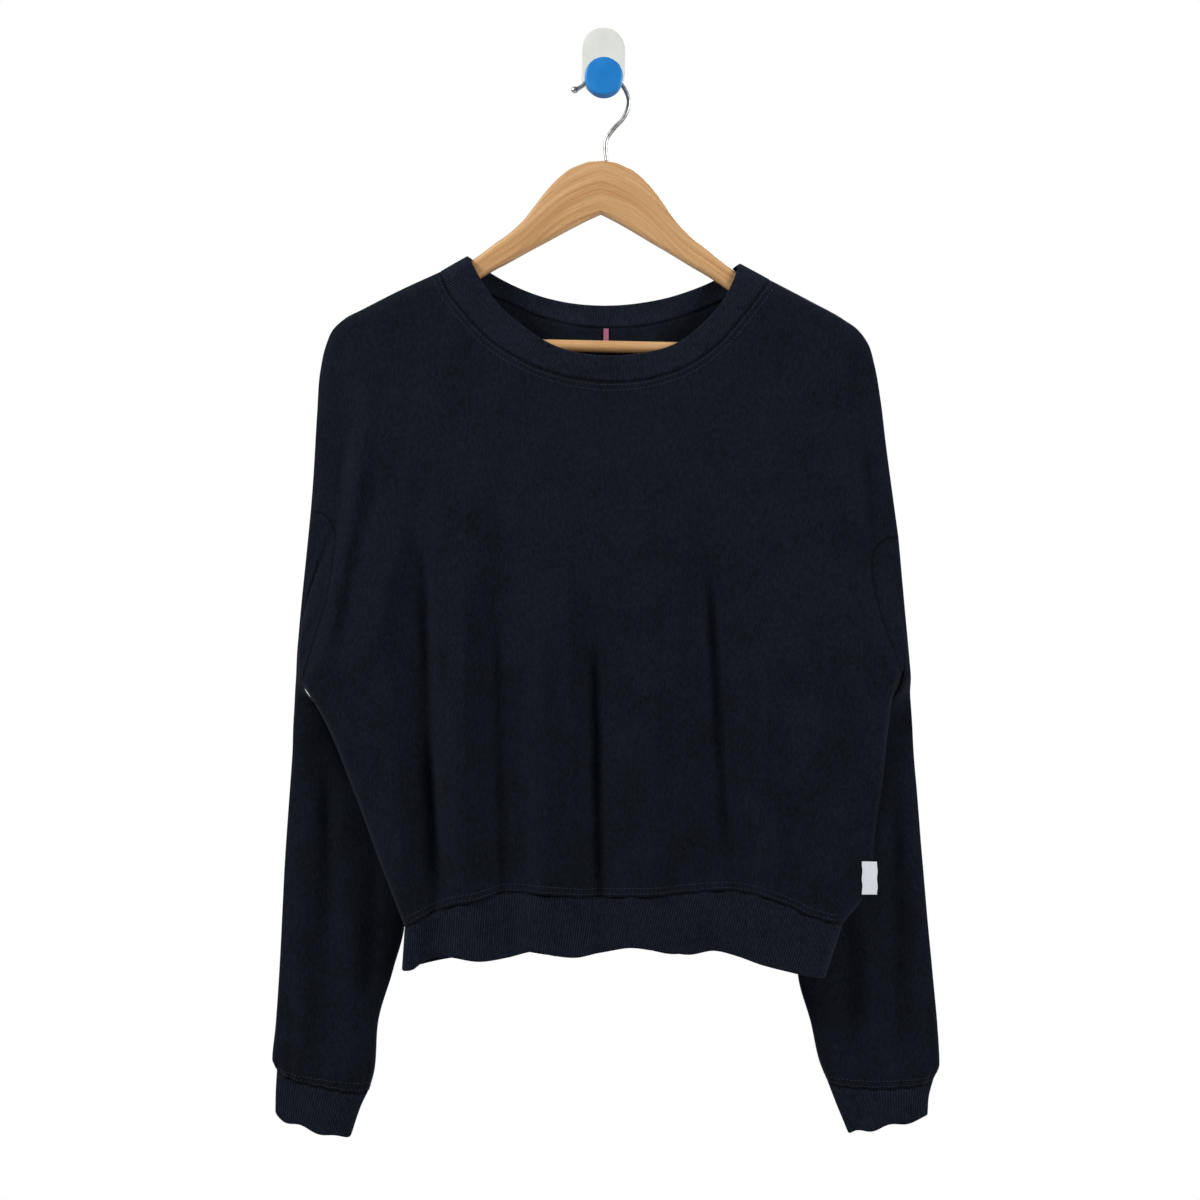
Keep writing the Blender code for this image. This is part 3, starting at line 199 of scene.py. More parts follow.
# ---------------------------------------------------------------- sleeves and cuffs, a row a section
# outer x, outer drop, inner x, inner drop, outer front, inner front, half-depth forward and back,
# how far the middle hangs lower, share of the armhole's own curve that the section keeps, wall
SLEEVE = {
    "left": [
        (-256.5, 404.0, -253.18, 430.99, -2.13, 11.64, 3.46, 9.25, 0.0, 0.12, 1.64),
        (-258.3, 432.0, -251.0, 444.95, -4.8, 2.87, 7.31, 7.57, 0.0, 0.07, CLOTH),
        (-259.5, 452.0, -237.2, 460.4, -4.51, -5.2, 6.44, 9.52, 0.0, 0.0, 1.84),
        (-260.6, 474.0, -225.8, 480.7, -2.98, -8.0, 8.56, 10.26, 0.0, 0.4, CLOTH),
        (-262.2, 500.0, -216.0, 505.0, -9.0, -9.5, 8.5, 11.0, 0.0, 0.0, CLOTH),
        (-265.0, 534.0, -194.0, 540.0, -11.0, -12.0, 10.0, 11.0, 0.0, 0.0, CLOTH),
        (-268.5, 582.0, -174.5, 586.0, -12.0, -12.5, 11.0, 11.0, 0.0, 0.0, CLOTH),
        (-271.0, 632.0, -167.5, 638.0, -12.0, -12.5, 11.0, 11.0, 0.0, 0.0, CLOTH),
        (-273.5, 682.0, -177.6, 682.0, -12.0, -12.0, 11.5, 11.0, 0.0, 0.0, CLOTH),
        (-276.5, 726.0, -190.2, 726.0, -12.0, -12.0, 12.5, 12.0, 0.0, 0.0, CLOTH),
        (-279.5, 756.0, -193.0, 764.0, -12.0, -12.0, 14.5, 13.5, 4.0, 0.0, CLOTH),
        (-275.5, 763.0, -197.5, 781.0, -12.0, -12.0, 12.0, 11.5, 7.0, 0.0, CLOTH)],
    "right": [
        (256.0, 412.0, 250.3, 429.46, 5.18, 11.39, 6.61, 8.62, 0.0, 0.38, 1.98),
        (257.4, 430.0, 246.6, 440.64, 7.16, 7.01, 7.38, 8.97, 0.0, 0.09, 1.73),
        (259.0, 450.0, 238.0, 457.89, -7.15, -0.55, 5.59, 11.12, 0.0, 0.24, CLOTH),
        (260.2, 470.0, 229.0, 474.84, -5.19, -6.36, 0.43, 7.68, 0.0, 0.0, 1.95),
        (262.0, 496.0, 221.0, 502.0, -9.0, -10.0, 8.5, 11.0, 0.0, 0.0, CLOTH),
        (265.3, 532.0, 199.0, 540.0, -11.0, -12.0, 10.0, 11.0, 0.0, 0.0, CLOTH),
        (269.2, 580.0, 174.0, 586.0, -12.0, -12.5, 11.0, 11.0, 0.0, 0.0, CLOTH),
        (273.6, 632.0, 163.0, 640.0, -12.0, -12.5, 11.0, 11.0, 0.0, 0.0, CLOTH),
        (278.2, 682.0, 164.5, 684.0, -12.0, -12.0, 11.5, 11.0, 0.0, 0.0, CLOTH),
        (282.4, 726.0, 175.6, 726.0, -12.0, -12.0, 12.5, 12.0, 0.0, 0.0, CLOTH),
        (284.2, 760.0, 183.8, 761.0, -12.0, -12.0, 14.5, 13.5, 4.0, 0.0, CLOTH),
        (279.4, 771.0, 189.0, 773.0, -12.0, -12.0, 12.0, 11.5, 8.0, 0.0, CLOTH)],
}
CUFF = {
    "left": [
        (-276.6, 782.0, -204.5, 796.0, -12.0, -12.0, 11.5, 11.0, 5.0, 0.0, RIB_CLOTH),
        (-277.0, 803.0, -213.2, 823.0, -12.0, -12.0, 11.0, 10.5, 2.0, 0.0, RIB_CLOTH)],
    "right": [
        (275.2, 788.0, 198.0, 796.0, -12.0, -12.0, 11.5, 11.0, 6.0, 0.0, RIB_CLOTH),
        (274.2, 804.5, 207.4, 818.5, -12.0, -12.0, 11.0, 10.5, 0.0, 0.0, RIB_CLOTH)],
}
SEAM_TURN = {     # how far the sleeve runs on in the panel's plane, and its back half's fall there
    "left": (4.81, -1.48), "right": (3.49, 0.09)}
TUBE_FLATNESS = 0.75       # below 1 squares the tube's section off

# ---------------------------------------------------------------- trims and holder
LABEL_TOP = 585.6
LABEL_HEIGHT = 27.4
LABEL_INNER_X = 214.8
LABEL_WIDTH = 12.5
LABEL_THICK = 1.0
LABEL_CURL = 0.004         # forward per mm of width squared
LABEL_BOW = 0.35           # how far its outer edge bows out halfway down
LABEL_FOLD = 0.8           # width over which its folded edge rounds off
TAB_X = 2.5
TAB_TOP = 139.8
TAB_HEIGHT = 13.0
TAB_WIDTH = 4.2
TAB_THICK = 0.8
TAB_CURL = 0.5             # how far its free end stands off the back

HANGER_ARM = [   # distance from the middle, drop of the upper edge, drop of the lower edge
    (0.0, 0.0, 45.0), (11.3, 1.3, 50.4), (18.9, 4.2, 54.4), (26.5, 7.6, 58.6), (34.0, 13.4, 62.8),
    (41.6, 21.0, 67.2), (49.1, 30.2, 71.4), (56.7, 40.7, 75.6), (64.3, 50.8, 80.0), (71.8, 58.4, 84.4),
    (79.4, 65.1, 88.8), (86.9, 70.4, 92.8), (102.0, 82.2, 102.2), (112.0, 89.3, 109.0),
    (126.0, 98.4, 117.4), (140.0, 106.0, 125.2), (180.0, 125.0, 146.0), (BLOCK_INNER_X - 0.02, 129.2, 149.8),
    (BLOCK_INNER_X, 129.2, 166.0), (203.0, 137.0, 166.0), (210.0, 142.0, 164.0), (214.0, 147.5, 159.0)]
HOOK_WIRE = [    # x and drop, from the wood over the stem to the tip
    (2.8, -0.4), (2.8, -18.0), (9.2, -27.4), (15.9, -34.6), (20.3, -42.6), (21.7, -50.0),
    (19.8, -57.2), (16.2, -63.6), (9.8, -71.6), (0.5, -74.9), (-9.0, -71.8), (-15.0, -65.4),
    (-19.9, -61.4), (-26.5, -58.8)]

# ---------------------------------------------------------------- fine relief, in mm
RIB_PITCH = 2.1            # from one rib of the 1x1 rib to the next
RIB_DEPTH = 0.5
RIPPLE_WAVES = 26
CUFF_WAVE = 1.5            # how far a cuff's free edge waves up and down
CUFF_WAVE_LENGTH = 31.0
CUFF_WAVE_DEPTH = 6.0      # front to back, for one radian of that wave
EDGE_FOLD = 1.3            # the band's free edge is a fold: how far from it the wall starts to round
SEAM_REACH = 30.0          # furthest distance from a seam that is stored on the cloth
CREASE_FADE = 0.3          # share of its length over which a crease grows in and dies out
CREASE_OVERRUN = 1.12      # where along its length it has died out
CREASE_SCALE = 1.45        # all creases are raised by this
# a soft crease runs along a straight line: start x, start drop, end x, end drop, height, half-width
CREASES = {FRONT: [
    (-196.0, 205.0, -232.0, 395.0, 1.6, 9.0), (-182.0, 240.0, -222.0, 420.0, -2.0, 10.0),
    (-160.0, 300.0, -205.0, 440.0, 1.5, 12.0), (200.0, 230.0, 232.0, 390.0, 1.4, 9.0),
    (184.0, 250.0, 218.0, 420.0, -2.2, 10.0), (160.0, 260.0, 206.0, 470.0, 1.8, 12.0),
    (-150.0, 480.0, -133.0, 610.0, -1.6, 7.0), (-128.0, 420.0, -118.0, 600.0, 1.5, 7.0),
    (-70.0, 330.0, -66.0, 590.0, -1.6, 8.0), (-30.0, 300.0, -26.0, 590.0, 1.2, 8.0),
    (14.0, 420.0, 20.0, 600.0, -1.4, 7.0), (60.0, 330.0, 66.0, 600.0, 1.3, 9.0),
    (108.0, 260.0, 116.0, 470.0, -1.3, 9.0), (176.0, 330.0, 205.0, 560.0, -1.8, 9.0),
    (-140.0, 120.0, -150.0, 190.0, -0.8, 12.0), (150.0, 135.0, 158.0, 200.0, -0.9, 12.0),
    (-90.0, 185.0, -110.0, 300.0, 0.8, 16.0), (60.0, 200.0, 90.0, 280.0, -0.7, 16.0),
    (-175.0, 560.0, -150.0, 625.0, 1.4, 7.0), (204.0, 540.0, 186.0, 625.0, 1.4, 8.0),
    (-8.0, 380.0, -6.0, 616.0, -4.2, 7.0), (84.0, 310.0, 108.0, 606.0, -4.0, 7.5),
    (-152.0, 290.0, -139.0, 612.0, -4.0, 7.5), (-93.0, 330.0, -86.0, 612.0, -3.4, 7.0),
    (40.0, 300.0, 46.0, 610.0, 2.4, 14.0), (-50.0, 330.0, -44.0, 612.0, 2.4, 12.0),
    (-118.0, 330.0, -113.0, 610.0, 2.4, 10.0), (134.0, 380.0, 140.0, 610.0, 2.2, 12.0)], BACK: [
    (-190.0, 220.0, -225.0, 400.0, 1.5, 10.0), (190.0, 230.0, 226.0, 395.0, 1.5, 10.0),
    (-120.0, 260.0, -100.0, 590.0, -1.5, 10.0), (-30.0, 240.0, -20.0, 600.0, 1.4, 10.0),
    (70.0, 260.0, 78.0, 600.0, -1.4, 10.0), (120.0, 360.0, 122.0, 600.0, 1.3, 9.0),
    (-175.0, 430.0, -155.0, 610.0, -1.5, 9.0), (190.0, 430.0, 176.0, 610.0, -1.5, 9.0)],
    "left": [(-254.0, 540.0, -255.0, 765.0, 2.2, 9.0), (-231.0, 480.0, -231.0, 755.0, -2.8, 8.0),
             (-212.0, 600.0, -211.0, 758.0, 1.8, 8.0), (-190.0, 570.0, -196.0, 715.0, -1.5, 7.0),
             (-243.0, 640.0, -243.0, 765.0, -1.2, 6.0), (-262.0, 700.0, -264.0, 765.0, -1.5, 6.0)],
    "right": [(222.0, 620.0, 220.0, 765.0, 2.0, 9.0), (244.0, 500.0, 246.0, 768.0, -2.6, 8.0),
              (262.0, 560.0, 267.0, 768.0, 1.8, 8.0), (205.0, 560.0, 203.0, 755.0, -1.8, 9.0),
              (233.0, 640.0, 235.0, 765.0, -1.0, 6.0), (272.0, 690.0, 275.0, 765.0, -1.4, 6.0)]}
RIPPLES = {       # seed, shortest wave, longest wave, height
    FRONT: (11, 16.0, 70.0, 0.42), BACK: (12, 16.0, 70.0, 0.42), "hem": (21, 12.0, 24.0, 1.0),
    "left": (41, 18.0, 80.0, 0.45), "right": (42, 18.0, 80.0, 0.45),
    ("band", FRONT): (31, 28.0, 80.0, 0.7), ("band", BACK): (32, 28.0, 80.0, 0.7)}
HEM_GATHER = (0.55, 26.0)          # height over the hem band's seam, and how far up it reaches
HEM_GATHER_STRETCH = (1.0, 0.25)   # draws these waves out down the cloth
CUFF_GATHER = (0.8, 30.0)
CUFF_GATHER_TURNS = 9.0            # gathers round half a cuff
EDGE_MARGIN = (2.0, 14.0)          # off a fold edge: where the panels' relief starts, and its growing run
SLEEVE_MARGIN = (70.0, 60.0)       # the same off the armhole
BAND_MARGIN = 14.0                 # the bands' relief grows over this from their seam
SWING_FADE = 0.7                   # power with which a sleeve's relief dies out towards its two folds
BEHIND_SHARE = 0.7                 # of the front's creases on the back half of a sleeve
RIM_ROUND = {"edge": 0.94, "seam": 0.7}    # how near a band's two layers close at its rims, 1 closed

STITCH_ROWS = (2.6, 7.0)           # distance of the twin rows from their seam
CUFF_STITCH_ROWS = (-2, -4)        # the sleeve's rings that carry them above a cuff
STITCH_ENDS = (0.012, 0.988)       # share of a seam between which it is stitched
STITCH_PITCH = 3.4
STITCH_LENGTH = 2.6
STITCH_RADIUS = 0.32

# ---------------------------------------------------------------- curves and tables
def hermite(knots, values, at, held=False):
    """Cubic curve through values given at rising knots, read at the places in at.

    A held curve never swings past the values on either side of it.
    """
    knots, values, at = (np.asarray(numbers, float) for numbers in (knots, values, at))
    slopes = np.gradient(values, knots, axis=0)
    extra = (1,) * (values.ndim - 1)
    if held:
        steps = np.diff(values, axis=0) / np.diff(knots).reshape((-1,) + extra)
        least = np.minimum(np.abs(steps[:-1]), np.abs(steps[1:]))
        same_way = steps[:-1] * steps[1:] > 0.0
        held_back = np.sign(steps[1:]) * np.minimum(np.abs(slopes[1:-1]), 2.0 * least)
        slopes[1:-1] = np.where(same_way, held_back, 0.0)
    cell = np.clip(np.searchsorted(knots, at, side="right") - 1, 0, len(knots) - 2)
    width = knots[cell + 1] - knots[cell]
    t = np.clip((at - knots[cell]) / width, 0.0, 1.0)
    t = t.reshape(t.shape + extra)
    width = width.reshape(width.shape + extra)
    start = values[cell] * (1 + 2 * t) * (1 - t) ** 2 + values[cell + 1] * t * t * (3 - 2 * t)
    return start + width * (slopes[cell] * t * (1 - t) ** 2 - slopes[cell + 1] * t * t * (1 - t))


def read_table(rows, at, column=1):
    """One column of a table whose first column rises, read smoothly at the places in at."""
    table = np.asarray(rows, float)
    return hermite(table[:, 0], table[:, column], at)


def unit(vectors):
    """Each vector divided by its length."""
    return vectors / np.linalg.norm(vectors, axis=-1, keepdims=True)


def run_length(points):
    """Length from the first row to each row, along a path or down every column of a grid."""
    steps = np.linalg.norm(np.diff(points, axis=0), axis=-1)
    return np.concatenate([np.zeros((1,) + steps.shape[1:]), np.cumsum(steps, axis=0)])


def read_path(path, along, at):
    """The places at the lengths in at on a path whose own points lie at the lengths in along."""
    return np.stack([np.interp(at, along, column) for column in path.T], axis=1)


def curve(knots, fractions):
    """Smooth curve through the knots, read at fractions of its length."""
    knots = np.asarray(knots, float)
    along = run_length(knots)
    fine = hermite(along, knots, np.linspace(0.0, along[-1], CURVE_DETAIL * len(knots)))
    length = run_length(fine)
    return read_path(fine, length, np.asarray(fractions, float) * length[-1])


def loft(sections, fractions):
    """Smooth tube through its sections, with a ring at each fraction of its mean length."""
    along = run_length(np.asarray(sections)).mean(axis=1)
    return hermite(along, sections, fractions * along[-1], held=True)


def bell(distance, width):
    """1 at no distance, falling off as e to the minus square of distance over width."""
    return np.exp(-(distance / width) ** 2)


def smoothstep(t):
    """An eased step from 0 at t = 0 to 1 at t = 1."""
    t = np.clip(t, 0.0, 1.0)
    return t * t * (3.0 - 2.0 * t)


def crowded(cells, edge_share, edge_weight, ends=(True, True)):
    """Fractions from 0 to 1 that lie closer near the chosen ends."""
    t = np.linspace(0.0, 1.0, 801)
    density = np.ones_like(t)
    for chosen, distance in zip(ends, (t, 1.0 - t)):
        if chosen:
            density += edge_weight * bell(distance, edge_share)
    summed = np.concatenate([[0.0], np.cumsum(0.5 * (density[1:] + density[:-1]))])
    return np.interp(np.linspace(0.0, summed[-1], cells + 1), summed, t)


# ---------------------------------------------------------------- the body's surface
GARMENT_MIDDLE = np.array([0.0, 420.0])
SAMPLES = np.linspace(0.0, 1.0, 70)     # at which seams and edges are read as polylines
ON_EDGE = 0.5                           # nearer than this a place counts as on the edge itself
EDGES = {}       # the four fold edges where front meets back: both shoulder lines and both side seams
for side in SIDES:
    EDGES["shoulder", side] = np.vstack([[COLLAR_POINT[side]], curve(SHOULDER[side], SAMPLES)])
for side in SIDES:
    EDGES["side", side] = np.vstack([curve(SIDE_SEAM[side], SAMPLES), [HEM_CORNER[side]]])


def nearest_on(points, path):
    """Distance of each (x, drop) from a polyline, the vector from it, and the segment that is nearest."""
    start = path[:-1]
    run = path[1:] - start
    rel = points[..., None, :] - start
    t = np.clip((rel * run).sum(-1) / (run ** 2).sum(-1), 0.0, 1.0)
    away = rel - t[..., None] * run
    distance = np.linalg.norm(away, axis=-1)
    nearest = np.argmin(distance, axis=-1)
    pick = nearest[..., None]
    return (np.take_along_axis(distance, pick, -1)[..., 0],
            np.take_along_axis(away, pick[..., None], -2)[..., 0, :], run[nearest])


def off_edge(points, path):
    """Distance of each (x, drop) from a fold edge, and the unit direction from the edge inwards."""
    distance, away, run = nearest_on(points, path)
    square = unit(np.stack([-run[..., 1], run[..., 0]], axis=-1))
    inward = np.sign((square * (GARMENT_MIDDLE - points)).sum(-1))[..., None] * square
    on_edge = (distance < ON_EDGE)[..., None]
    return distance, np.where(on_edge, inward, away / np.maximum(distance, ON_EDGE)[..., None])


def folds(points, rows):
    """Sum of the folds, each a soft ridge or trough that grows from its top towards the hem."""
    depth = np.zeros(points.shape[:-1])
    for top_x, top_drop, end_x, height, half_width in rows:
        share = (points[..., 1] - top_drop) / (FOLD_END - top_drop)
        middle = top_x + (end_x - top_x) * share
        grown = smoothstep((points[..., 1] - top_drop) / FOLD_FADE)
        depth += height * grown * bell(points[..., 0] - middle, half_width)
    return depth


def body_surface(points, face, wall):
    """Outer and inner points of the body's cloth at (x, drop) on the front or the back face.

    Away from the fold edges the cloth stands at its depth table. Within the edge round it turns back
    to the seam's depth along a quarter ellipse, and the inner ellipse is smaller by the wall.
    """
    round_off = np.ones(points.shape[:-1])
    shift = np.zeros(points.shape)
    for (kind, side), edge in EDGES.items():
        distance, direction = off_edge(points, edge)
        near = np.clip(1.0 - distance / EDGE_ROUND[kind], 0.0, 1.0)
        round_off = round_off * np.sqrt(1.0 - near ** 2)
        shift += wall * near[..., None] * direction
    x, drop = points[..., 0], points[..., 1]
    seam = read_table(SEAM_FRONT, drop)
    if face == FRONT:
        chest = read_table(CHEST_FRONT, drop) - seam
        arm = read_table(ARM_DEPTH, drop)
        inside = np.minimum(x - read_table(ARM_RIDGE, drop, 1), read_table(ARM_RIDGE, drop, 2) - x)
        depth = arm + (chest - arm) * smoothstep((inside + RIDGE_OUTSIDE) / RIDGE_SOFTNESS)
    else:
        depth = read_table(BACK_DEPTH, drop, 1) + bell(x, BACK_FULL_WIDTH) * read_table(BACK_DEPTH, drop, 2)
    depth = depth + folds(points, FOLDS[face])
    outer = np.dstack([points, seam + face * depth * round_off])
    inner = np.dstack([points + shift, seam + face * (depth - wall) * round_off])
    return outer, inner


# ---------------------------------------------------------------- creases, ripples and gathers
def crease_heights(points, rows):
    """Sum of soft creases: each falls off as a bell away from its line and fades at both ends."""
    height = np.zeros(points.shape[:-1])
    for x0, drop0, x1, drop1, rise, half_width in rows:
        start = np.array([x0, drop0])
        run = np.array([x1, drop1]) - start
        share = ((points - start) @ run) / (run @ run)
        away = points - start - share[..., None] * run
        ends = smoothstep(share / CREASE_FADE) * smoothstep((CREASE_OVERRUN - share) / CREASE_FADE)
        height += rise * ends * np.exp(-((away ** 2).sum(-1)) / half_width ** 2)
    return CREASE_SCALE * height


def ripples(points, seed, shortest, longest, height):
    """Seeded sum of plane waves over (x, drop), longer waves higher, mostly running down the cloth."""
    draw = np.random.default_rng(seed)
    heading = draw.normal(0.0, 0.55, RIPPLE_WAVES)
    length = shortest * (longest / shortest) ** draw.uniform(0.0, 1.0, RIPPLE_WAVES)
    start = draw.uniform(0.0, 2.0 * math.pi, RIPPLE_WAVES)
    share = length / longest
    x, drop = points[..., 0, None], points[..., 1, None]
    turn = 2.0 * math.pi * (x * np.cos(heading) + 0.6 * drop * np.sin(heading))
    return height * (share * np.sin(turn / length + start)).sum(-1) / math.sqrt((share ** 2).sum() / 2.0)


def body_seams(face):
    """The seams that end a panel, as (x, drop) polylines, the hem's first."""
    neck, armhole, hem = PANEL_LINES[face]
    sides = [line[side] for side in SIDES for line in (armhole, SIDE_SEAM)]
    return [curve(knots, SAMPLES) for knots in [hem, neck] + sides]


def nearest_of(points, paths):
    """Distance of each (x, drop) from the nearest of several polylines, at most the seam reach."""
    return np.minimum.reduce([np.full(points.shape[:-1], SEAM_REACH)]
                             + [nearest_on(points, path)[0] for path in paths])


def body_relief(points, face):
    """How far the body's cloth stands off its main surface: creases, ripples, and gathers over the hem."""
    height = crease_heights(points, CREASES[face]) + ripples(points, *RIPPLES[face])
    rise, reach = HEM_GATHER
    over_hem = bell(nearest_on(points, body_seams(face)[0])[0], reach)
    height += rise * over_hem * ripples(points * HEM_GATHER_STRETCH, *RIPPLES["hem"])
    start, growth = EDGE_MARGIN
    return height * smoothstep((nearest_of(points, EDGES.values()) - start) / growth)


def dressed_surface(points, face, wall):
    """Outer and inner points of the body's cloth with its relief on both."""
    lift = face * body_relief(points, face)
    layers = body_surface(points, face, wall)
    for layer in layers:
        layer[..., 2] += lift
    return layers


# ---------------------------------------------------------------- panels
COLUMN_SHARE = crowded(2 * COLUMNS_SHOULDER + COLUMNS_NECK, *CROWDING["columns"])
ARM_SHARE = 0.31           # share of a panel's height beside the arm's fold edge, and down to the armpit
ARMPIT_SHARE = 0.595
ARM_FRACTIONS = crowded(ROWS_ARM, *CROWDING["arm"], (True, False))
ARMHOLE_FRACTIONS = crowded(ROWS_ARMHOLE, *CROWDING["armhole"])
SIDE_FRACTIONS = np.linspace(0.0, 1.0, ROWS_SIDE + 1)
ROW_SHARE = np.concatenate([ARM_SHARE * ARM_FRACTIONS,
                            ARM_SHARE + (ARMPIT_SHARE - ARM_SHARE) * ARMHOLE_FRACTIONS[1:],
                            ARMPIT_SHARE + (1.0 - ARMPIT_SHARE) * SIDE_FRACTIONS[1:]])
NECK_FRACTIONS = crowded(COLUMNS_NECK, *CROWDING["neck"])
SHOULDER_FRACTIONS = crowded(COLUMNS_SHOULDER, *CROWDING["shoulder"])
SIDE_PULL_FADE = 2.2       # how fast the sides' own shape dies out towards the middle


def top_line(neck):
    """A panel's upper edge: left shoulder from the hanger's tip, neck seam, right shoulder."""
    left, right = (curve(SHOULDER[side], TIP_FRACTION[side] * SHOULDER_FRACTIONS) for side in SIDES)
    return np.vstack([left[::-1], curve(neck, NECK_FRACTIONS)[1:-1], right])


def side_line(side, armhole):
    """A panel's outer edge: down the arm from the hanger's tip, round the armhole, down the side."""
    tip = TIP_FRACTION[side]
    arm = curve(SHOULDER[side], tip + (1.0 - tip) * ARM_FRACTIONS)
    return np.vstack([arm, curve(armhole[side], ARMHOLE_FRACTIONS)[1:],
                      curve(SIDE_SEAM[side], SIDE_FRACTIONS)[1:]])


def panel_plan(neck, armhole, hem):
    """Grid of (x, drop): straight columns from the top line to the hem seam, pulled out at the sides."""
    top = top_line(neck)
    bottom = curve(hem, COLUMN_SHARE)
    down = ROW_SHARE[:, None]
    plan = (1.0 - down[..., None]) * top + down[..., None] * bottom
    pulls = {"left": (1.0 - COLUMN_SHARE) ** SIDE_PULL_FADE, "right": COLUMN_SHARE ** SIDE_PULL_FADE}
    for side, corner in (("left", 0), ("right", -1)):
        straight = (1.0 - down) * top[corner] + down * bottom[corner]
        offset = side_line(side, armhole) - straight
        plan = plan + pulls[side][None, :, None] * offset[:, None, :]
    return plan


def make_panel(face):
    """Outer and inner grids of the front or the back, and each point's distance from a seam."""
    plan = panel_plan(*PANEL_LINES[face])
    return *dressed_surface(plan, face, CLOTH), nearest_of(plan, body_seams(face))


# ---------------------------------------------------------------- ribbed bands
def grid_normals(grid, sign):
    """Unit normals of a ring grid: the cross product of the runs along its rows and down its columns."""
    along = np.roll(grid, -1, axis=1) - np.roll(grid, 1, axis=1)
    normal = sign * np.cross(along, np.gradient(grid, axis=0))
    return normal / np.maximum(np.linalg.norm(normal, axis=-1, keepdims=True), 1e-9)


def close_ring(front, back):
    """One closed ring from a front row and a back row that share both ends: x rises along each."""
    ends = 0.5 * (front[[0, -1]] + back[[0, -1]])
    return np.vstack([ends[:1], front[1:-1], ends[1:], back[1:-1][::-1]])


def rib_columns(knots):
    """Fractions along a seam with four places to each rib."""
    length = np.linalg.norm(np.diff(np.asarray(knots), axis=0), axis=1).sum()
    return np.linspace(0.0, 1.0, 4 * round(length / RIB_PITCH) + 1)


def finish_rib(outer, inner, sign):
    """Ribs and rounded rims for a band's grids; returns them with each point's rib height and seam distance.

    Every fourth column is a rib's crest and the wall is thinner between crests. Within the edge fold
    both layers draw in to the wall's middle along a quarter circle, and a little at the seam.
    """
    depth = run_length(outer)
    crest = 0.5 + 0.5 * np.cos(0.5 * math.pi * np.arange(outer.shape[1]))
    groove = (RIB_DEPTH * (1.0 - crest))[None, :, None] * grid_normals(outer, sign)
    outer = outer - groove
    inner = inner + 0.5 * groove
    near_edge = np.clip(1.0 - (depth[-1] - depth) / EDGE_FOLD, 0.0, RIM_ROUND["edge"])
    near_seam = np.clip(1.0 - depth / EDGE_FOLD, 0.0, RIM_ROUND["seam"])
    pull = (1.0 - np.sqrt(1.0 - np.maximum(near_edge, near_seam) ** 2))[..., None]
    middle = 0.5 * (outer + inner)
    return (outer + pull * (middle - outer), inner + pull * (middle - inner),
            np.broadcast_to(crest, depth.shape), np.minimum(depth, SEAM_REACH))


BAND_FRACTIONS = crowded(BAND_ROWS, *CROWDING["band"])


def make_band(lines, bulge):
    """A ribbed ring's grids from its seam to its free edge, with rib heights and seam distances.

    Each row lies on the body's surface between the seam's curve and the edge's curve. The middle of
    the depth stands out by the bulge, and the ripples grow in from the seam.
    """
    rows = []
    for across in BAND_FRACTIONS:
        halves = []
        for face, (seam_line, edge_line) in lines.items():
            share = rib_columns(seam_line)
            seam = curve(seam_line, share)
            run = curve(edge_line, share) - seam
            place = seam + run * across
            half = np.array(body_surface(place[None], face, RIB_CLOTH))[:, 0]
            grown = smoothstep(across * np.linalg.norm(run, axis=1) / BAND_MARGIN)
            wave = ripples(place, *RIPPLES["band", face]) * grown
            fade = np.sin(math.pi * np.clip(share, 0.0, 1.0)) ** 0.5
            half[..., 2] += face * (bulge * math.sin(math.pi * across) + wave * fade)
            halves.append(half)
        rows.append([close_ring(front, back) for front, back in zip(*halves)])
    outer, inner = np.array(rows).swapaxes(0, 1)
    return finish_rib(outer, inner, 1.0)


# ---------------------------------------------------------------- sleeves and cuffs
RING_FRACTIONS = np.concatenate([ARMHOLE_FRACTIONS, 2.0 - ARMHOLE_FRACTIONS[::-1][1:-1]])
OUTWARD = {"left": 1.0, "right": -1.0}      # which way round a sleeve's rings run, seen from above


def tube_section(row, layer, first=None):
    """One ring of a flattened tube: outer edge, forward half, inner edge, back half.

    The ring may keep a share of the first ring's spacing, and its back half the same share of the
    first ring's own curve away from its chord.
    """
    (outer_x, outer_drop, inner_x, inner_drop, outer_front, inner_front,
     forward, backward, sag, keep, wall) = row
    wall = wall * layer
    ahead = RING_FRACTIONS <= 1.0
    round_spaced = 0.5 + 0.5 * np.cos(math.pi * RING_FRACTIONS)
    weight = (1.0 - keep) * round_spaced + keep * np.abs(1.0 - RING_FRACTIONS)
    lift = (2.0 * np.sqrt(weight * (1.0 - weight))) ** TUBE_FLATNESS
    weight = weight[:, None]
    ends = np.array([[outer_x, outer_drop, outer_front], [inner_x, inner_drop, inner_front]])
    chord = unit(ends[1] - ends[0])
    ends = ends + wall * np.array([chord, -chord])
    ring = weight * ends[0] + (1.0 - weight) * ends[1]
    ring[:, 2] += np.where(ahead, (forward - wall) * lift, -(backward - wall) * lift)
    ring[:, 1] += sag * lift
    if keep > 0.0:
        turn = int(np.argmax(RING_FRACTIONS >= 1.0))
        straight = weight * first[0] + (1.0 - weight) * first[turn]
        ring[:, :2] += keep * np.where(ahead[:, None], 0.0, (first - straight)[:, :2])
    return ring


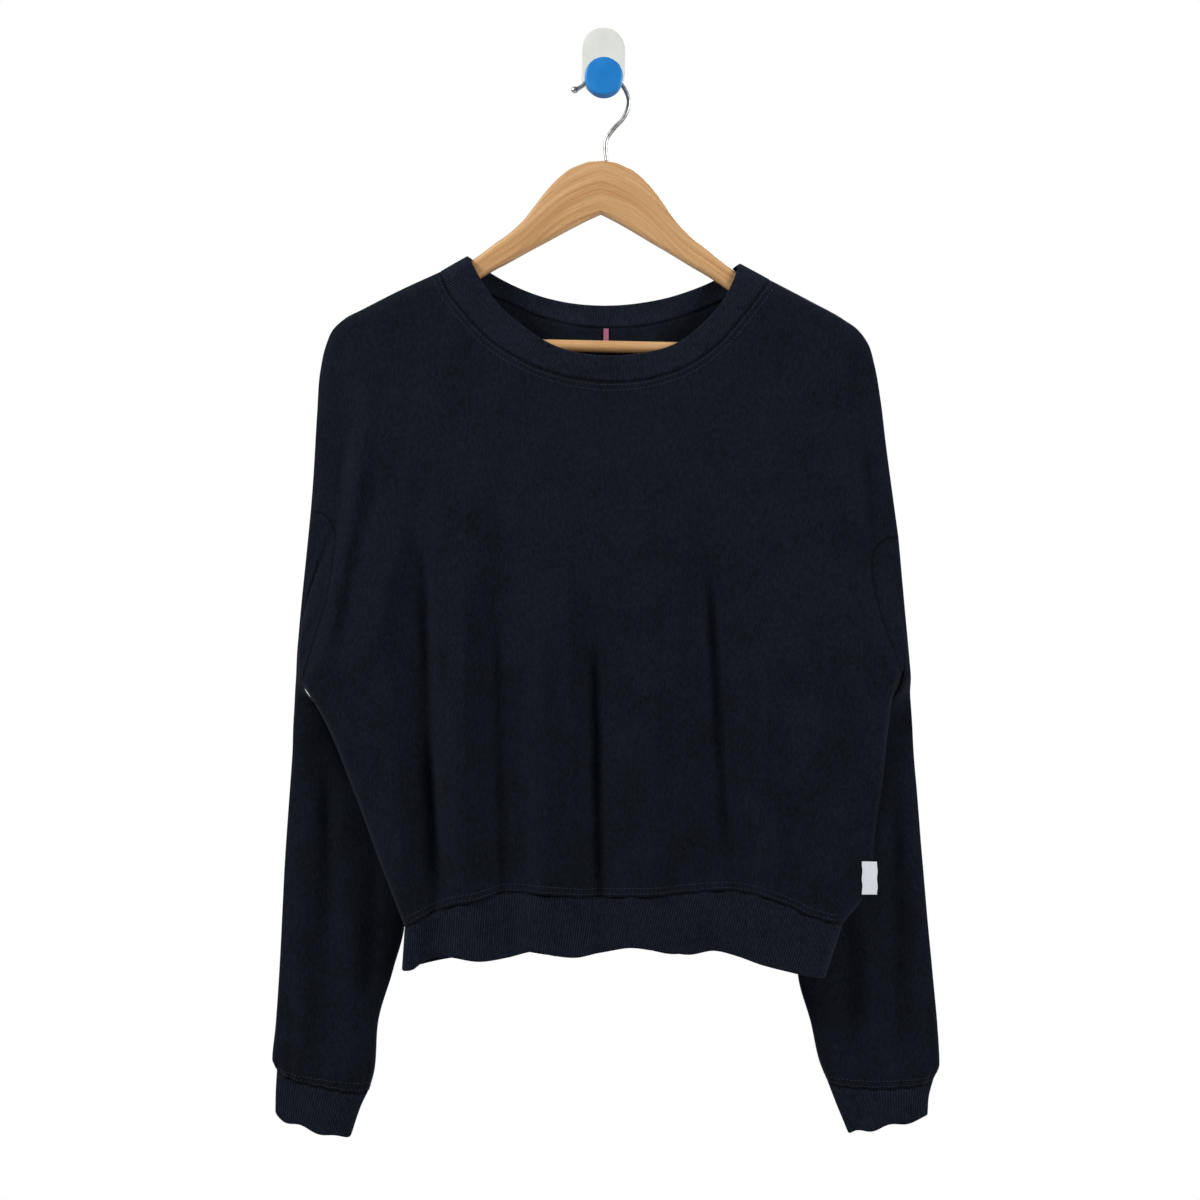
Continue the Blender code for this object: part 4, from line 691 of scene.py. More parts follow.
def armhole_ring(front, back, side, layer):
    """The sleeve's first ring, and the way off the panels there.

    The ring follows the panels' armhole edges, moved off them by the armhole gap.
    """
    edge, beside = (0, 1) if side == "left" else (-1, -2)
    rows = slice(ROWS_ARM, ROWS_ARM + ROWS_ARMHOLE + 1)
    halves = []
    for panel in (front, back):
        away = unit(panel[0][rows, edge] - panel[0][rows, beside])
        halves.append((panel[layer][rows, edge] + ARMHOLE_GAP * away, away))
    ring, away = (close_ring(forward, behind) for forward, behind in zip(*halves))
    away = unit(away)
    ends = [0, ROWS_ARMHOLE]
    ring[ends] += ARMHOLE_END_GAP * away[ends]
    return ring, away


def make_sleeve(front, back, side):
    """Outer and inner grids of a sleeve down to the cuff's seam, distances from its seams, and normals.

    The creases and ripples push the cloth along the tube's normals and fade at its two folds;
    close to the cuff the cloth is gathered into fine upright folds.
    """
    swing = np.abs(np.sin(math.pi * RING_FRACTIONS))[:, None]
    ahead = RING_FRACTIONS <= 1.0
    seam, away = armhole_ring(front, back, side, 0)
    run, fall_back = SEAM_TURN[side]
    grids = []
    for layer in (0, 1):
        first = armhole_ring(front, back, side, layer)[0]
        rings = [tube_section(row, layer, seam) for row in SLEEVE[side]]
        onward = rings[0] - first
        onward /= np.linalg.norm(onward, axis=1).mean()
        turned_off = first + run * (swing * away + (1.0 - swing) * onward)
        turned_off[:, 2] -= fall_back * np.where(ahead, 0.0, swing[:, 0])
        grids.append(loft([first, turned_off] + rings, np.linspace(0.0, 1.0, SLEEVE_RINGS)))
    outer, inner = grids
    from_armhole = run_length(outer)
    to_cuff = from_armhole[-1] - from_armhole
    plan = outer[..., :2]
    height = np.where(ahead, 1.0, BEHIND_SHARE) * crease_heights(plan, CREASES[side])
    height += ripples(plan, *RIPPLES[side])
    rise, reach = CUFF_GATHER
    height += rise * bell(to_cuff, reach) * np.cos(2.0 * math.pi * CUFF_GATHER_TURNS * RING_FRACTIONS)
    start, growth = SLEEVE_MARGIN
    height *= swing[:, 0] ** SWING_FADE * smoothstep((from_armhole - start) / growth)
    lift = height[..., None] * grid_normals(outer, OUTWARD[side])
    outer = outer + lift
    nearest = np.minimum(np.minimum(from_armhole, to_cuff), SEAM_REACH)
    return outer, inner + lift, nearest, grid_normals(outer, OUTWARD[side])


def make_cuff(side):
    """A ribbed cuff's grids from the sleeve's last ring to its edge, with rib heights and seam distances."""
    grids = []
    for layer in (0, 1):
        rows = [SLEEVE[side][-1][:-1] + (RIB_CLOTH,)] + CUFF[side]
        grids.append(loft([tube_section(row, layer) for row in rows], BAND_FRACTIONS))
    girth = np.linalg.norm(np.diff(grids[0], axis=1), axis=2).mean(axis=0).sum()
    columns = 4 * round(girth / RIB_PITCH)
    for layer, grid in enumerate(grids):        # read again at evenly numbered columns, four to a rib
        turned_grid = np.swapaxes(np.concatenate([grid, grid[:, :1]], axis=1), 0, 1)
        length = run_length(turned_grid).mean(axis=1)
        at = np.linspace(0.0, length[-1], columns, endpoint=False)
        grids[layer] = np.swapaxes(hermite(length, turned_grid, at), 0, 1)
    rim = grids[0][-1]
    wave = CUFF_WAVE * np.sin(rim[:, 0] / CUFF_WAVE_LENGTH * 2.0 * math.pi + rim[:, 2] / CUFF_WAVE_DEPTH)
    for grid in grids:
        grid[..., 1] += (BAND_FRACTIONS ** 2)[:, None] * wave
    return finish_rib(*grids, OUTWARD[side])


# ---------------------------------------------------------------- finishes
def to_world(points):
    """(x, drop, front) in mm to world metres."""
    points = np.asarray(points, float)
    world = np.stack([points[..., 0], -WALL_TO_HANGER - points[..., 2], HANGER_TOP - points[..., 1]], axis=-1)
    return world * MM


def linear(hexcode):
    """sRGB hex colour to linear RGBA."""
    channels = [int(hexcode[i:i + 2], 16) / 255.0 for i in (1, 3, 5)]
    return [c / 12.92 if c <= 0.04045 else ((c + 0.055) / 1.055) ** 2.4 for c in channels] + [1.0]


def add_node(material, kind, settings=None, values=None, links=None, stops=()):
    """One shader node with its settings, input values, links (input: node, output) and rising ramp stops."""
    node = material.node_tree.nodes.new("ShaderNode" + kind)
    for name, value in (settings or {}).items():
        setattr(node, name, value)
    for name, value in (values or {}).items():
        node.inputs[name].default_value = value
    for name, (source, output) in (links or {}).items():
        material.node_tree.links.new(source.outputs[output], node.inputs[name])
    for number, (position, colour) in enumerate(stops):
        elements = node.color_ramp.elements
        stop = elements.new(position) if 0 < number < len(stops) - 1 else elements[-1 if number else 0]
        stop.position = position
        stop.color = linear(colour) if isinstance(colour, str) else (colour, colour, colour, 1.0)
    return node


def start_material(name, colour, values):
    """A Principled material with its own socket values; returns it, its shader and its place node."""
    material = bpy.data.materials.new(name)
    material.use_nodes = True
    shader = material.node_tree.nodes["Principled BSDF"]
    for socket, value in {"Base Color": linear(colour), **values}.items():
        shader.inputs[socket].default_value = value
    material.diffuse_color = linear(colour)
    return material, shader, add_node(material, "TexCoord")


def finish(material, shader, **ends):
    """Link what ends a material's node chains to its shader, and return the material."""
    for socket, (source, output) in ends.items():
        material.node_tree.links.new(source.outputs[output], shader.inputs[socket.replace("_", " ")])
    return material


def per_mm(size):
    """Noise scale that gives features of a size in mm on coordinates in metres."""
    return 1.0 / (size * MM)


WAVE_TURN = 0.314          # a wave texture's scale times this over its pitch gives one band a pitch
TIMES = {"data_type": "RGBA", "blend_type": "MULTIPLY"}       # a colour mix that multiplies


def knit_material(name, deep, light, fuzz, ribbed):
    """Cotton knit: mottled by washing, finely fuzzed, with painted shade in its seams and between its ribs.

    The loops are really 1 mm wide, too fine to show, so the fuzz is drawn at 1.7 mm and drawn out
    down the cloth as the knit's wales are.
    """
    material, shader, place = start_material(name, light, {
        "Roughness": 0.93, "Specular IOR Level": 0.06, "Sheen Weight": fuzz, "Sheen Roughness": 0.55,
        "Sheen Tint": linear("#AAB2CC")})
    drawn = add_node(material, "Mapping", values={"Scale": (1.0, 1.0, 0.45)},
                     links={"Vector": (place, "Object")})
    mottle, loops, pills = (
        add_node(material, "TexNoise", values={"Scale": per_mm(size), "Detail": detail, "Roughness": rough},
                 links={"Vector": source})
        for size, detail, rough, source in (
            (38.0, 3.0, 0.55, (place, "Object")), (1.7, 2.0, 0.6, (drawn, "Vector")),
            (6.0, 4.0, 0.7, (place, "Object"))))
    washed = add_node(material, "Math", {"operation": "MULTIPLY"}, {1: 0.28}, {0: (mottle, "Fac")})
    mixed = add_node(material, "Math", {"operation": "MULTIPLY_ADD"}, {1: 0.72},
                     {0: (loops, "Fac"), 2: (washed, "Value")})
    dye = add_node(material, "ValToRGB", links={"Fac": (mixed, "Value")}, stops=[(0.3, deep), (0.72, light)])
    # painted shade along the seams, darkest on the seam line, with a faint painted highlight about 2.4 mm off
    # it
    seam = add_node(material, "Attribute", {"attribute_name": "seam"})
    near = add_node(material, "Math", {"operation": "DIVIDE"}, {1: 10.0}, {0: (seam, "Fac")})
    shade = add_node(material, "ValToRGB", links={"Fac": (near, "Value")},
                     stops=[(0.0, 0.35), (0.12, 0.8), (0.24, 1.05), (0.5, 1.0)])
    colour = add_node(material, "Mix", TIMES, {0: 1.0}, {6: (dye, "Color"), 7: (shade, "Color")})
    if ribbed:
        # painted shade in the grooves between the ribs, and a painted highlight on their crests
        height = add_node(material, "Attribute", {"attribute_name": "rib"})
        groove = add_node(material, "ValToRGB", links={"Fac": (height, "Fac")},
                          stops=[(0.0, 0.3), (0.8, 1.15)])
        colour = add_node(material, "Mix", TIMES, {0: 1.0}, {6: (colour, 2), 7: (groove, "Color")})
    puff = add_node(material, "ValToRGB", links={"Fac": (near, "Value")},
                    stops=[(0.0, 0.0), (0.12, 0.5), (0.32, 1.0), (0.6, 0.8), (1.0, 0.7)])
    nap = None
    for strength, distance, source in ((0.5, 0.0012, (puff, "Color")), (0.35, 0.0005, (pills, "Fac")),
                                       (0.55, 0.0003, (loops, "Fac"))):
        below = {"Normal": (nap, "Normal")} if nap else {}
        nap = add_node(material, "Bump", values={"Strength": strength, "Distance": distance},
                       links={"Height": source, **below})
    return finish(material, shader, Base_Color=(colour, 2), Normal=(nap, "Normal"))


def stitch_thread():
    """Spun polyester thread: a shade lighter and smoother than the cloth, with its twist across it."""
    material, shader, place = start_material("spun_polyester_thread", "#1C202B", {
        "Roughness": 0.6, "Specular IOR Level": 0.2, "Sheen Weight": 0.05})
    twist = add_node(material, "TexWave", {"bands_direction": "DIAGONAL"}, {"Scale": WAVE_TURN * per_mm(0.5)},
                     {"Vector": (place, "Object")})
    tone = add_node(material, "ValToRGB", links={"Fac": (twist, "Color")},
                    stops=[(0.1, "#141720"), (0.9, "#222735")])
    bump = add_node(material, "Bump", values={"Strength": 0.4, "Distance": 0.0001},
                    links={"Height": (twist, "Color")})
    return finish(material, shader, Base_Color=(tone, "Color"), Normal=(bump, "Normal"))


def varnished_beech():
    """Planed beech under clear satin varnish: fine grain along the arms, short pores, soft sheen.

    Beech pores are 0.1 mm wide, too fine to show, so the grain is drawn at 1.4 mm across.
    """
    material, shader, _ = start_material("varnished_beech", "#C49B6C", {
        "Roughness": 0.42, "Coat Weight": 0.35, "Coat Roughness": 0.22, "IOR": 1.5})
    grain = add_node(material, "Attribute", {"attribute_name": "grain"})
    along, short = (add_node(material, "Mapping", values={"Scale": (stretch, 1.0, 1.0)},
                             links={"Vector": (grain, "Vector")}) for stretch in (0.035, 0.3))
    rings, fine, pores = (
        add_node(material, "TexNoise", values={"Scale": per_mm(size), "Detail": detail, "Roughness": rough},
                 links={"Vector": (source, "Vector")})
        for size, detail, rough, source in (
            (5.0, 3.0, 0.6, along), (1.4, 3.0, 0.7, along), (1.0, 1.0, 0.5, short)))
    wide = add_node(material, "ValToRGB", links={"Fac": (rings, "Fac")},
                    stops=[(0.3, "#AD7D4C"), (0.5, "#BD9161"), (0.7, "#CAA273")])
    narrow = add_node(material, "ValToRGB", links={"Fac": (fine, "Fac")}, stops=[(0.35, 0.86), (0.65, 1.04)])
    dots = add_node(material, "ValToRGB", links={"Fac": (pores, "Fac")}, stops=[(0.3, 0.8), (0.42, 1.0)])
    lined = add_node(material, "Mix", TIMES, {0: 1.0}, {6: (wide, "Color"), 7: (narrow, "Color")})
    flecked = add_node(material, "Mix", TIMES, {0: 0.7}, {6: (lined, 2), 7: (dots, "Color")})
    bump = add_node(material, "Bump", values={"Strength": 0.25, "Distance": 0.0002},
                    links={"Height": (fine, "Fac")})
    return finish(material, shader, Base_Color=(flecked, 2), Normal=(bump, "Normal"))


def woven_tape(name, colour, shade, pitch, roughness):
    """Woven tape: two crossing sets of waves for its threads, drawn wider than the real 0.3 mm."""
    material, shader, place = start_material(name, colour, {
        "Roughness": roughness, "Specular IOR Level": 0.35, "Sheen Weight": 0.25})
    weft, warp = (add_node(material, "TexWave", {"bands_direction": way},
                           {"Scale": WAVE_TURN * per_mm(pitch)}, {"Vector": (place, "Object")})
                  for way in "ZX")
    crossed = add_node(material, "Math", {"operation": "MULTIPLY"},
                       links={0: (weft, "Fac"), 1: (warp, "Fac")})
    tone = add_node(material, "ValToRGB", links={"Fac": (crossed, "Value")},
                    stops=[(0.0, shade), (0.6, colour)])
    bump = add_node(material, "Bump", values={"Strength": 0.4, "Distance": 0.00015},
                    links={"Height": (crossed, "Value")})
    return finish(material, shader, Base_Color=(tone, "Color"), Normal=(bump, "Normal"))


def clouded(name, colour, values, cloud, tones, dulls, grit, bump):
    """A hard finish: one noise drifts its colour and roughness, and a finer one roughens its surface.

    cloud and grit are a noise's size in mm and its detail, tones and dulls the ramps of colour and
    roughness over the first, bump the strength and depth that the second gives.
    """
    material, shader, place = start_material(name, colour, values)
    drift, grain = (add_node(material, "TexNoise", values={"Scale": per_mm(size), "Detail": detail},
                             links={"Vector": (place, "Object")}) for size, detail in (cloud, grit))
    tone = add_node(material, "ValToRGB", links={"Fac": (drift, "Fac")}, stops=tones)
    rough = add_node(material, "Bump", values={"Strength": bump[0], "Distance": bump[1]},
                     links={"Height": (grain, "Fac")})
    if dulls:
        dull = add_node(material, "ValToRGB", links={"Fac": (drift, "Fac")}, stops=dulls)
        finish(material, shader, Roughness=(dull, "Color"))
    return finish(material, shader, Base_Color=(tone, "Color"), Normal=(rough, "Normal"))


jersey = knit_material("brushed_cotton_jersey", "#05070B", "#141823", 0.045, False)
rib = knit_material("cotton_1x1_rib", "#0B0D14", "#1F2431", 0.055, True)
thread = stitch_thread()
beech = varnished_beech()
label_satin = woven_tape("woven_label_satin", "#DCDFE5", "#C9CCD4", 0.9, 0.55)
pink_twill = woven_tape("pink_cotton_twill", "#AE6079", "#8C4862", 0.8, 0.8)
# zinc-plated steel wire: cloudy plating that spreads its highlights
steel = clouded("zinc_plated_steel", "#B4B5B1", {"Metallic": 1.0}, (4.0, 4.0),
                [(0.3, "#9FA09C"), (0.7, "#C4C5C2")], [(0.3, 0.28), (0.7, 0.46)], (0.7, 2.0), (0.15, 0.0001))
# injection-moulded ABS: even colour, a fine spark texture, soft highlights with faint handling marks
grey_abs, blue_abs = (
    clouded(name, colour, {"IOR": 1.53}, (16.0, 3.0), [(0.3, shade), (0.7, colour)],
            [(0.35, roughness - 0.05), (0.7, roughness + 0.1)], (0.6, 2.0), (0.2, 0.0001))
    for name, colour, shade, roughness in (("moulded_grey_abs", "#CFD1CC", "#C8CAC5", 0.42),
                                           ("moulded_blue_abs", "#0077C0", "#006DB4", 0.45)))
# matt floor paint: nearly white, with a faint roller stipple
floor_paint = clouded("matt_floor_paint", "#F4F4F2", {"Roughness": 0.95, "Specular IOR Level": 0.1},
                      (6.0, 2.0), [(0.2, "#FBFBFB"), (0.8, "#FEFEFE")], None, (6.0, 2.0), (0.05, 0.0002))


# ---------------------------------------------------------------- meshes
def add_piece(name, verts, quads, material, stores=None, replaces=(), caps=(), sharp=50.0):
    """A closed mesh piece in world metres with its faces outwards, riding on the part's one body.

    The signed volume, a sixth of the sum of each triangle's triple product, tells whether the faces
    point outwards; if not they are all turned. stores holds numbers for each vertex by name.
    """
    triangles = np.concatenate([quads[:, :3], quads[:, [0, 2, 3]]])
    corners = verts[triangles]
    if np.einsum("ij,ij->i", corners[:, 0], np.cross(corners[:, 1], corners[:, 2])).sum() < 0.0:
        quads = quads[:, ::-1]
        caps = [cap[::-1] for cap in caps]
    mesh = bpy.data.meshes.new(name)
    mesh.from_pydata(verts.tolist(), [], quads.tolist() + [list(map(int, cap)) for cap in caps])
    for key, numbers in (stores or {}).items():
        flat = np.asarray(numbers, np.float32)
        kind, field = ("FLOAT_VECTOR", "vector") if flat.ndim > 1 else ("FLOAT", "value")
        mesh.attributes.new(key, kind, "POINT").data.foreach_set(field, flat.ravel())
    mesh.shade_smooth()
    mesh.set_sharp_from_angle(angle=math.radians(sharp))
    piece = add_object(name, mesh, material)
    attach(piece, "root")
    if replaces:
        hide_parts(*replaces)
    return piece


def add_object(name, data, material=None):
    """An object of a mesh, a lamp or a camera, linked to the scene."""
    if material:
        data.materials.append(material)
    item = bpy.data.objects.new(name, data)
    bpy.context.scene.collection.objects.link(item)
    return item


def grid_faces(index, wrap):
    """Quads between neighbouring rows of an index grid, closed across when wrap is set."""
    if wrap:
        index = np.hstack([index, index[:, :1]])
    return np.stack([index[:-1, :-1], index[:-1, 1:], index[1:, 1:], index[1:, :-1]], axis=-1).reshape(-1, 4)


def add_wall(name, node, outer, inner, material, slot, wrap=False, **stores):
    """A cloth wall: outer and inner grids joined round their open edges."""
    rows, columns = outer.shape[:2]
    count = rows * columns
    index = np.arange(count).reshape(rows, columns)
    quads = grid_faces(index, wrap)
    faces = [quads, (quads + count)[:, ::-1]]
    if wrap:
        rims = [np.append(index[0], index[0, 0]), np.append(index[-1], index[-1, 0])[::-1]]
    else:
        rims = [index[0], index[-1][::-1], index[:, -1], index[::-1, 0]]
    for rim in rims:
        faces.append(np.stack([rim[:-1], rim[:-1] + count, rim[1:] + count, rim[1:]], axis=-1))
    points = to_world(np.concatenate([outer.reshape(-1, 3), inner.reshape(-1, 3)]))
    both = {key: np.tile(np.asarray(value).reshape(-1), 2) for key, value in stores.items()}
    return add_piece(name, points, np.concatenate(faces), material, both, [node])


def add_rings(name, node, rings, material, grain=None):
    """A solid through closed world-space rings of equal length, capped at both ends."""
    rings = np.asarray(rings)
    index = np.arange(rings.shape[0] * rings.shape[1]).reshape(rings.shape[:2])
    stores = None if grain is None else {"grain": np.asarray(grain).reshape(-1, 3)}
    return add_piece(name, rings.reshape(-1, 3), grid_faces(index, True), material, stores, [node],
                     [index[0][::-1], index[-1]], 40.0)


CAPSULE_POLES = np.radians([12.0, 50.0, 90.0, 130.0, 168.0])
CAPSULE_SIDES = 6
HEADING_STEP = 0.3         # how far on along a seam a stitch's heading is read


def add_stitches(path, up):
    """A row of short stitches: capsules laid along a path at even steps, half sunk in the cloth.

    A capsule's rings lie at the radius times the sine, and half the length times the cosine, of an
    angle that runs from pole to pole.
    """
    along = run_length(path)
    at = np.arange(STITCH_PITCH, along[-1] - 0.5 * STITCH_PITCH, STITCH_PITCH)
    middle = read_path(path, along, at)
    ahead = unit(read_path(path, along, at + HEADING_STEP) - middle)
    out = read_path(up, along, at)
    across = unit(np.cross(out, ahead))
    polar = CAPSULE_POLES[:, None]
    turn = np.linspace(0.0, 2.0 * math.pi, CAPSULE_SIDES, endpoint=False)
    end = 0.5 * STITCH_LENGTH * np.cos(polar) * np.ones(CAPSULE_SIDES)
    wide = STITCH_RADIUS * np.sin(polar) * np.cos(turn)
    high = STITCH_RADIUS * np.sin(polar) * np.sin(turn)
    points = middle[:, None] + sum(size.reshape(1, -1, 1) * axis[:, None]
                                   for size, axis in ((end, ahead), (wide, across), (high, out)))
    index = np.arange(end.size).reshape(end.shape)
    offsets = end.size * np.arange(len(at))[:, None]
    quads = (grid_faces(index, True)[None] + offsets[..., None]).reshape(-1, 4)
    return points.reshape(-1, 3), quads, np.concatenate([index[0][::-1] + offsets, index[-1] + offsets])


# ---------------------------------------------------------------- hanger, hook and peg
def full_turn(sides):
    """Angles of a section's points, evenly round a circle."""
    return np.linspace(0.0, 2.0 * math.pi, sides, endpoint=False)


def tilted(points):
    """Hanger coordinates (x, height above its top, out) to world metres, turned by the hanger's tilt."""
    x, height, out = np.moveaxis(np.asarray(points), -1, 0)
    cosine, sine = math.cos(HANGER_TILT), math.sin(HANGER_TILT)
    world_x = HANGER_MIDDLE_X + x * cosine + height * sine
    return np.stack([world_x, -WALL_TO_HANGER - out, HANGER_TOP - x * sine + height * cosine], axis=-1) * MM


def make_hanger():
    """The bent wooden body: rounded upright sections from one arm's tip to the other's.

    The upper and lower edges are the table's, read smoothly along the arm and straight over the end block.
    """
    arm = np.asarray(HANGER_ARM)
    half = []
    in_block = arm[:, 0] >= BLOCK_INNER_X
    for rows, count in ((arm[~in_block], ARM_RINGS), (arm[in_block], BLOCK_RINGS)):
        at = np.linspace(rows[0, 0], rows[-1, 0], count)
        half.append(np.column_stack([at, hermite(rows[:, 0], rows[:, 1:], at, held=True)]))
    half = np.vstack(half)
    corner = np.linspace(0.0, 0.5 * math.pi, CORNER_POINTS)
    sine, cosine = np.sin(corner), np.cos(corner)
    rings = []
    for x, upper, lower in np.vstack([half[:0:-1] * [-1.0, 1.0, 1.0], half]):
        rounding = min(HANGER_EDGE_ROUND, 0.45 * (lower - upper))
        flat_half = 0.5 * HANGER_THICK - rounding
        out = np.concatenate([flat_half + rounding * sine, flat_half + rounding * cosine,
                              -flat_half - rounding * sine, -flat_half - rounding * cosine])
        height = np.concatenate([-upper - rounding + rounding * cosine, -lower + rounding - rounding * sine,
                                 -lower + rounding - rounding * cosine, -upper - rounding + rounding * sine])
        middle = np.full(len(out), 0.5 * (upper + lower))
        rings.append(np.column_stack([np.full(len(out), x), height, out, middle]))
    rings = np.array(rings)
    grain = rings[..., :3] + rings[..., 3:] * [0.0, 1.0, 0.0]       # heights taken from the arm's own middle
    add_rings("hanger_wood", "hanger_body", tilted(rings[..., :3]), beech, grain * MM)


def round_tube(path, square, radius, sides):
    """Rings round a path in the plane of x and drop or height; square is the path's side direction."""
    angle = full_turn(sides)
    rings = np.zeros((len(path), sides, 3))
    rings[..., :2] = path[:, None] + (radius[:, None] * np.cos(angle))[..., None] * square[:, None]
    rings[..., 2] = radius[:, None] * np.sin(angle)
    return rings


def make_bar():
    """The round trouser bar between the arms' end blocks, its grain along it."""
    path = np.linspace([-BLOCK_INNER_X, -BAR_DROP], [BLOCK_INNER_X, -BAR_DROP], BAR_RINGS)
    square = np.tile([0.0, 1.0], (BAR_RINGS, 1))
    rings = round_tube(path, square, np.full(BAR_RINGS, BAR_RADIUS), BAR_SIDES)
    grain = (rings + [0.0, BAR_DROP, 0.0]) * MM
    add_rings("bar_wood", "trouser_bar", tilted(rings), beech, grain)


def make_hook():
    """The steel wire hook with a ball at its tip, in the hanger's middle plane."""
    path = curve(HOOK_WIRE, np.linspace(0.0, 1.0, HOOK_RINGS))
    heading = unit(np.gradient(path, axis=0))
    square = np.stack([-heading[:, 1], heading[:, 0]], axis=1)
    length = run_length(path)
    to_end = length[-1] - length
    ball = np.sqrt(np.clip(WIRE_TIP_RADIUS ** 2 - (to_end - WIRE_TIP_RADIUS) ** 2, 0.0, None))
    least = np.where(to_end > WIRE_TIP_RADIUS, WIRE_RADIUS, WIRE_END_RADIUS)
    rings = round_tube(path, square, np.maximum(least, ball), HOOK_SIDES)
    add_rings("hook_steel", "hook_wire", to_world(rings), steel)


def turned(name, node, centre, profile, material, straight=0.0):
    """A solid turned round an axis square to the wall: profile rows are distance from wall, radius.

    The straight length moves its upper half up and its lower half down, which makes it a stadium.
    """
    angle = full_turn(PEG_SIDES)
    rise = centre[1] + np.where(np.sin(angle) >= 0.0, straight, -straight)
    rings = [np.stack([centre[0] + radius * np.cos(angle), np.full(PEG_SIDES, -out),
                       rise + radius * np.sin(angle)], axis=1) * MM for out, radius in profile]
    add_rings(name, node, rings, material)


def edge_arc(face, edge, radius):
    """Profile rows of a quarter-round edge, from the side wall to the face: distance out and inset."""
    angle = np.linspace(0.0, 0.5 * math.pi, CORNER_POINTS)
    return [(face - radius + radius * math.sin(a), edge - radius + radius * math.cos(a)) for a in angle]


def make_peg():
    """The wall peg: stadium plate, stem with a root fillet, and round head with eased edges."""
    half_width = 0.5 * PLATE_WIDTH
    turned("peg_plate_abs", "peg_plate", (0.0, 0.0),
           [(0.0, half_width - PLATE_CHAMFER), (PLATE_CHAMFER, half_width)]
           + edge_arc(PLATE_THICK, half_width, EASED_EDGE),
           grey_abs, 0.5 * (PLATE_HEIGHT - PLATE_WIDTH))
    fillet = [(PLATE_THICK + EASED_EDGE * (1.0 - math.cos(a)), STEM_RADIUS + EASED_EDGE * (1.0 - math.sin(a)))
              for a in np.linspace(0.0, 0.5 * math.pi, CORNER_POINTS - 1)]
    stem = fillet + [(HEAD_BACK, STEM_RADIUS)]
    turned("peg_stem_abs", "peg_stem", STEM_PLACE, stem, grey_abs)
    front = HEAD_BACK + HEAD_THICK
    mirrored = edge_arc(HEAD_BACK + EASED_EDGE, HEAD_RADIUS, EASED_EDGE)[::-1]
    back_edge = [(2.0 * HEAD_BACK + EASED_EDGE - out, radius) for out, radius in mirrored]
    turned("peg_head_abs", "peg_head", HEAD_PLACE, back_edge + edge_arc(front, HEAD_RADIUS, HEAD_FRONT_EDGE)
           + [(front, HEAD_RADIUS - HEAD_FLAT_INSET)], blue_abs)


# ---------------------------------------------------------------- trims
def make_label():
    """The folded white side label: lies on the front's edge and stands out past the side seam, bowed."""
    drop = np.linspace(LABEL_TOP, LABEL_TOP + LABEL_HEIGHT, 40)[:, None]
    inner_edge = np.dstack([np.full_like(drop.T, LABEL_INNER_X), drop.T])
    on_cloth = body_surface(inner_edge, FRONT, CLOTH)[0][..., 2].max()
    across = np.linspace(0.0, LABEL_WIDTH, 24)[None, :]
    bow = LABEL_BOW * np.sin(math.pi * (drop - LABEL_TOP) / LABEL_HEIGHT) * (across / LABEL_WIDTH)
    back = np.dstack(np.broadcast_arrays(LABEL_INNER_X + across + 0.25 * np.sin(drop * 0.5),
                                         drop + 0.02 * across * np.cos(drop * 0.3),
                                         on_cloth + LABEL_CURL * across ** 2 + bow))
    near_fold = np.clip((across - LABEL_WIDTH + LABEL_FOLD) / LABEL_FOLD, 0.0, 1.0)
    face = back.copy()
    face[..., 2] += LABEL_THICK * np.sqrt(1.0 - 0.9 * near_fold ** 2)
    return add_wall("label", "side_label", face, back, label_satin, "label_tape")


def make_neck_tab():
    """A short pink tape hanging from the back neck seam on the inside of the back."""
    drop = np.linspace(TAB_TOP, TAB_TOP + TAB_HEIGHT, 16)
    x = np.linspace(TAB_X - 0.5 * TAB_WIDTH, TAB_X + 0.5 * TAB_WIDTH, 8)
    back = dressed_surface(np.stack(np.meshgrid(x, drop), axis=-1), BACK, CLOTH)[1]
    back[..., 2] += TAB_CURL * ((drop - TAB_TOP) / TAB_HEIGHT)[:, None] ** 2
    return add_wall("pink_tab", "neck_tab", back + [0.0, 0.0, TAB_THICK], back, pink_twill, "pink_tape")


def seam_stitches():
    """Twin rows of cover stitch below the neck seam and above the hem seam, front and back."""
    parts = []
    samples = np.linspace(*STITCH_ENDS, 500)
    for face, (neck, _, hem) in PANEL_LINES.items():
        below_neck = [(neck, reach) for reach in STITCH_ROWS]
        above_hem = [(hem, -reach) for reach in STITCH_ROWS]
        for knots, reach in below_neck + above_hem:
            seam = curve(knots, samples)
            heading = unit(np.gradient(seam, axis=0))
            plan = seam + reach * np.stack([-heading[:, 1], heading[:, 0]], axis=1)
            outer = dressed_surface(plan[None], face, CLOTH)[0][0]
            up = np.cross(np.gradient(outer, axis=0), [0.0, 1.0, 0.0])
            parts.append(add_stitches(outer, face * np.sign(up[:, 2:]) * unit(up)))
    return parts


def join_parts(name, parts, material):
    """One piece from several (points in mm, quads, caps)."""
    starts = np.cumsum([0] + [len(points) for points, quads, caps in parts])
    points = np.concatenate([part[0] for part in parts])
    quads, caps = (np.concatenate([part[kind] + start for part, start in zip(parts, starts)])
                   for kind in (1, 2))
    return add_piece(name, to_world(points), quads, material, None, (), caps)


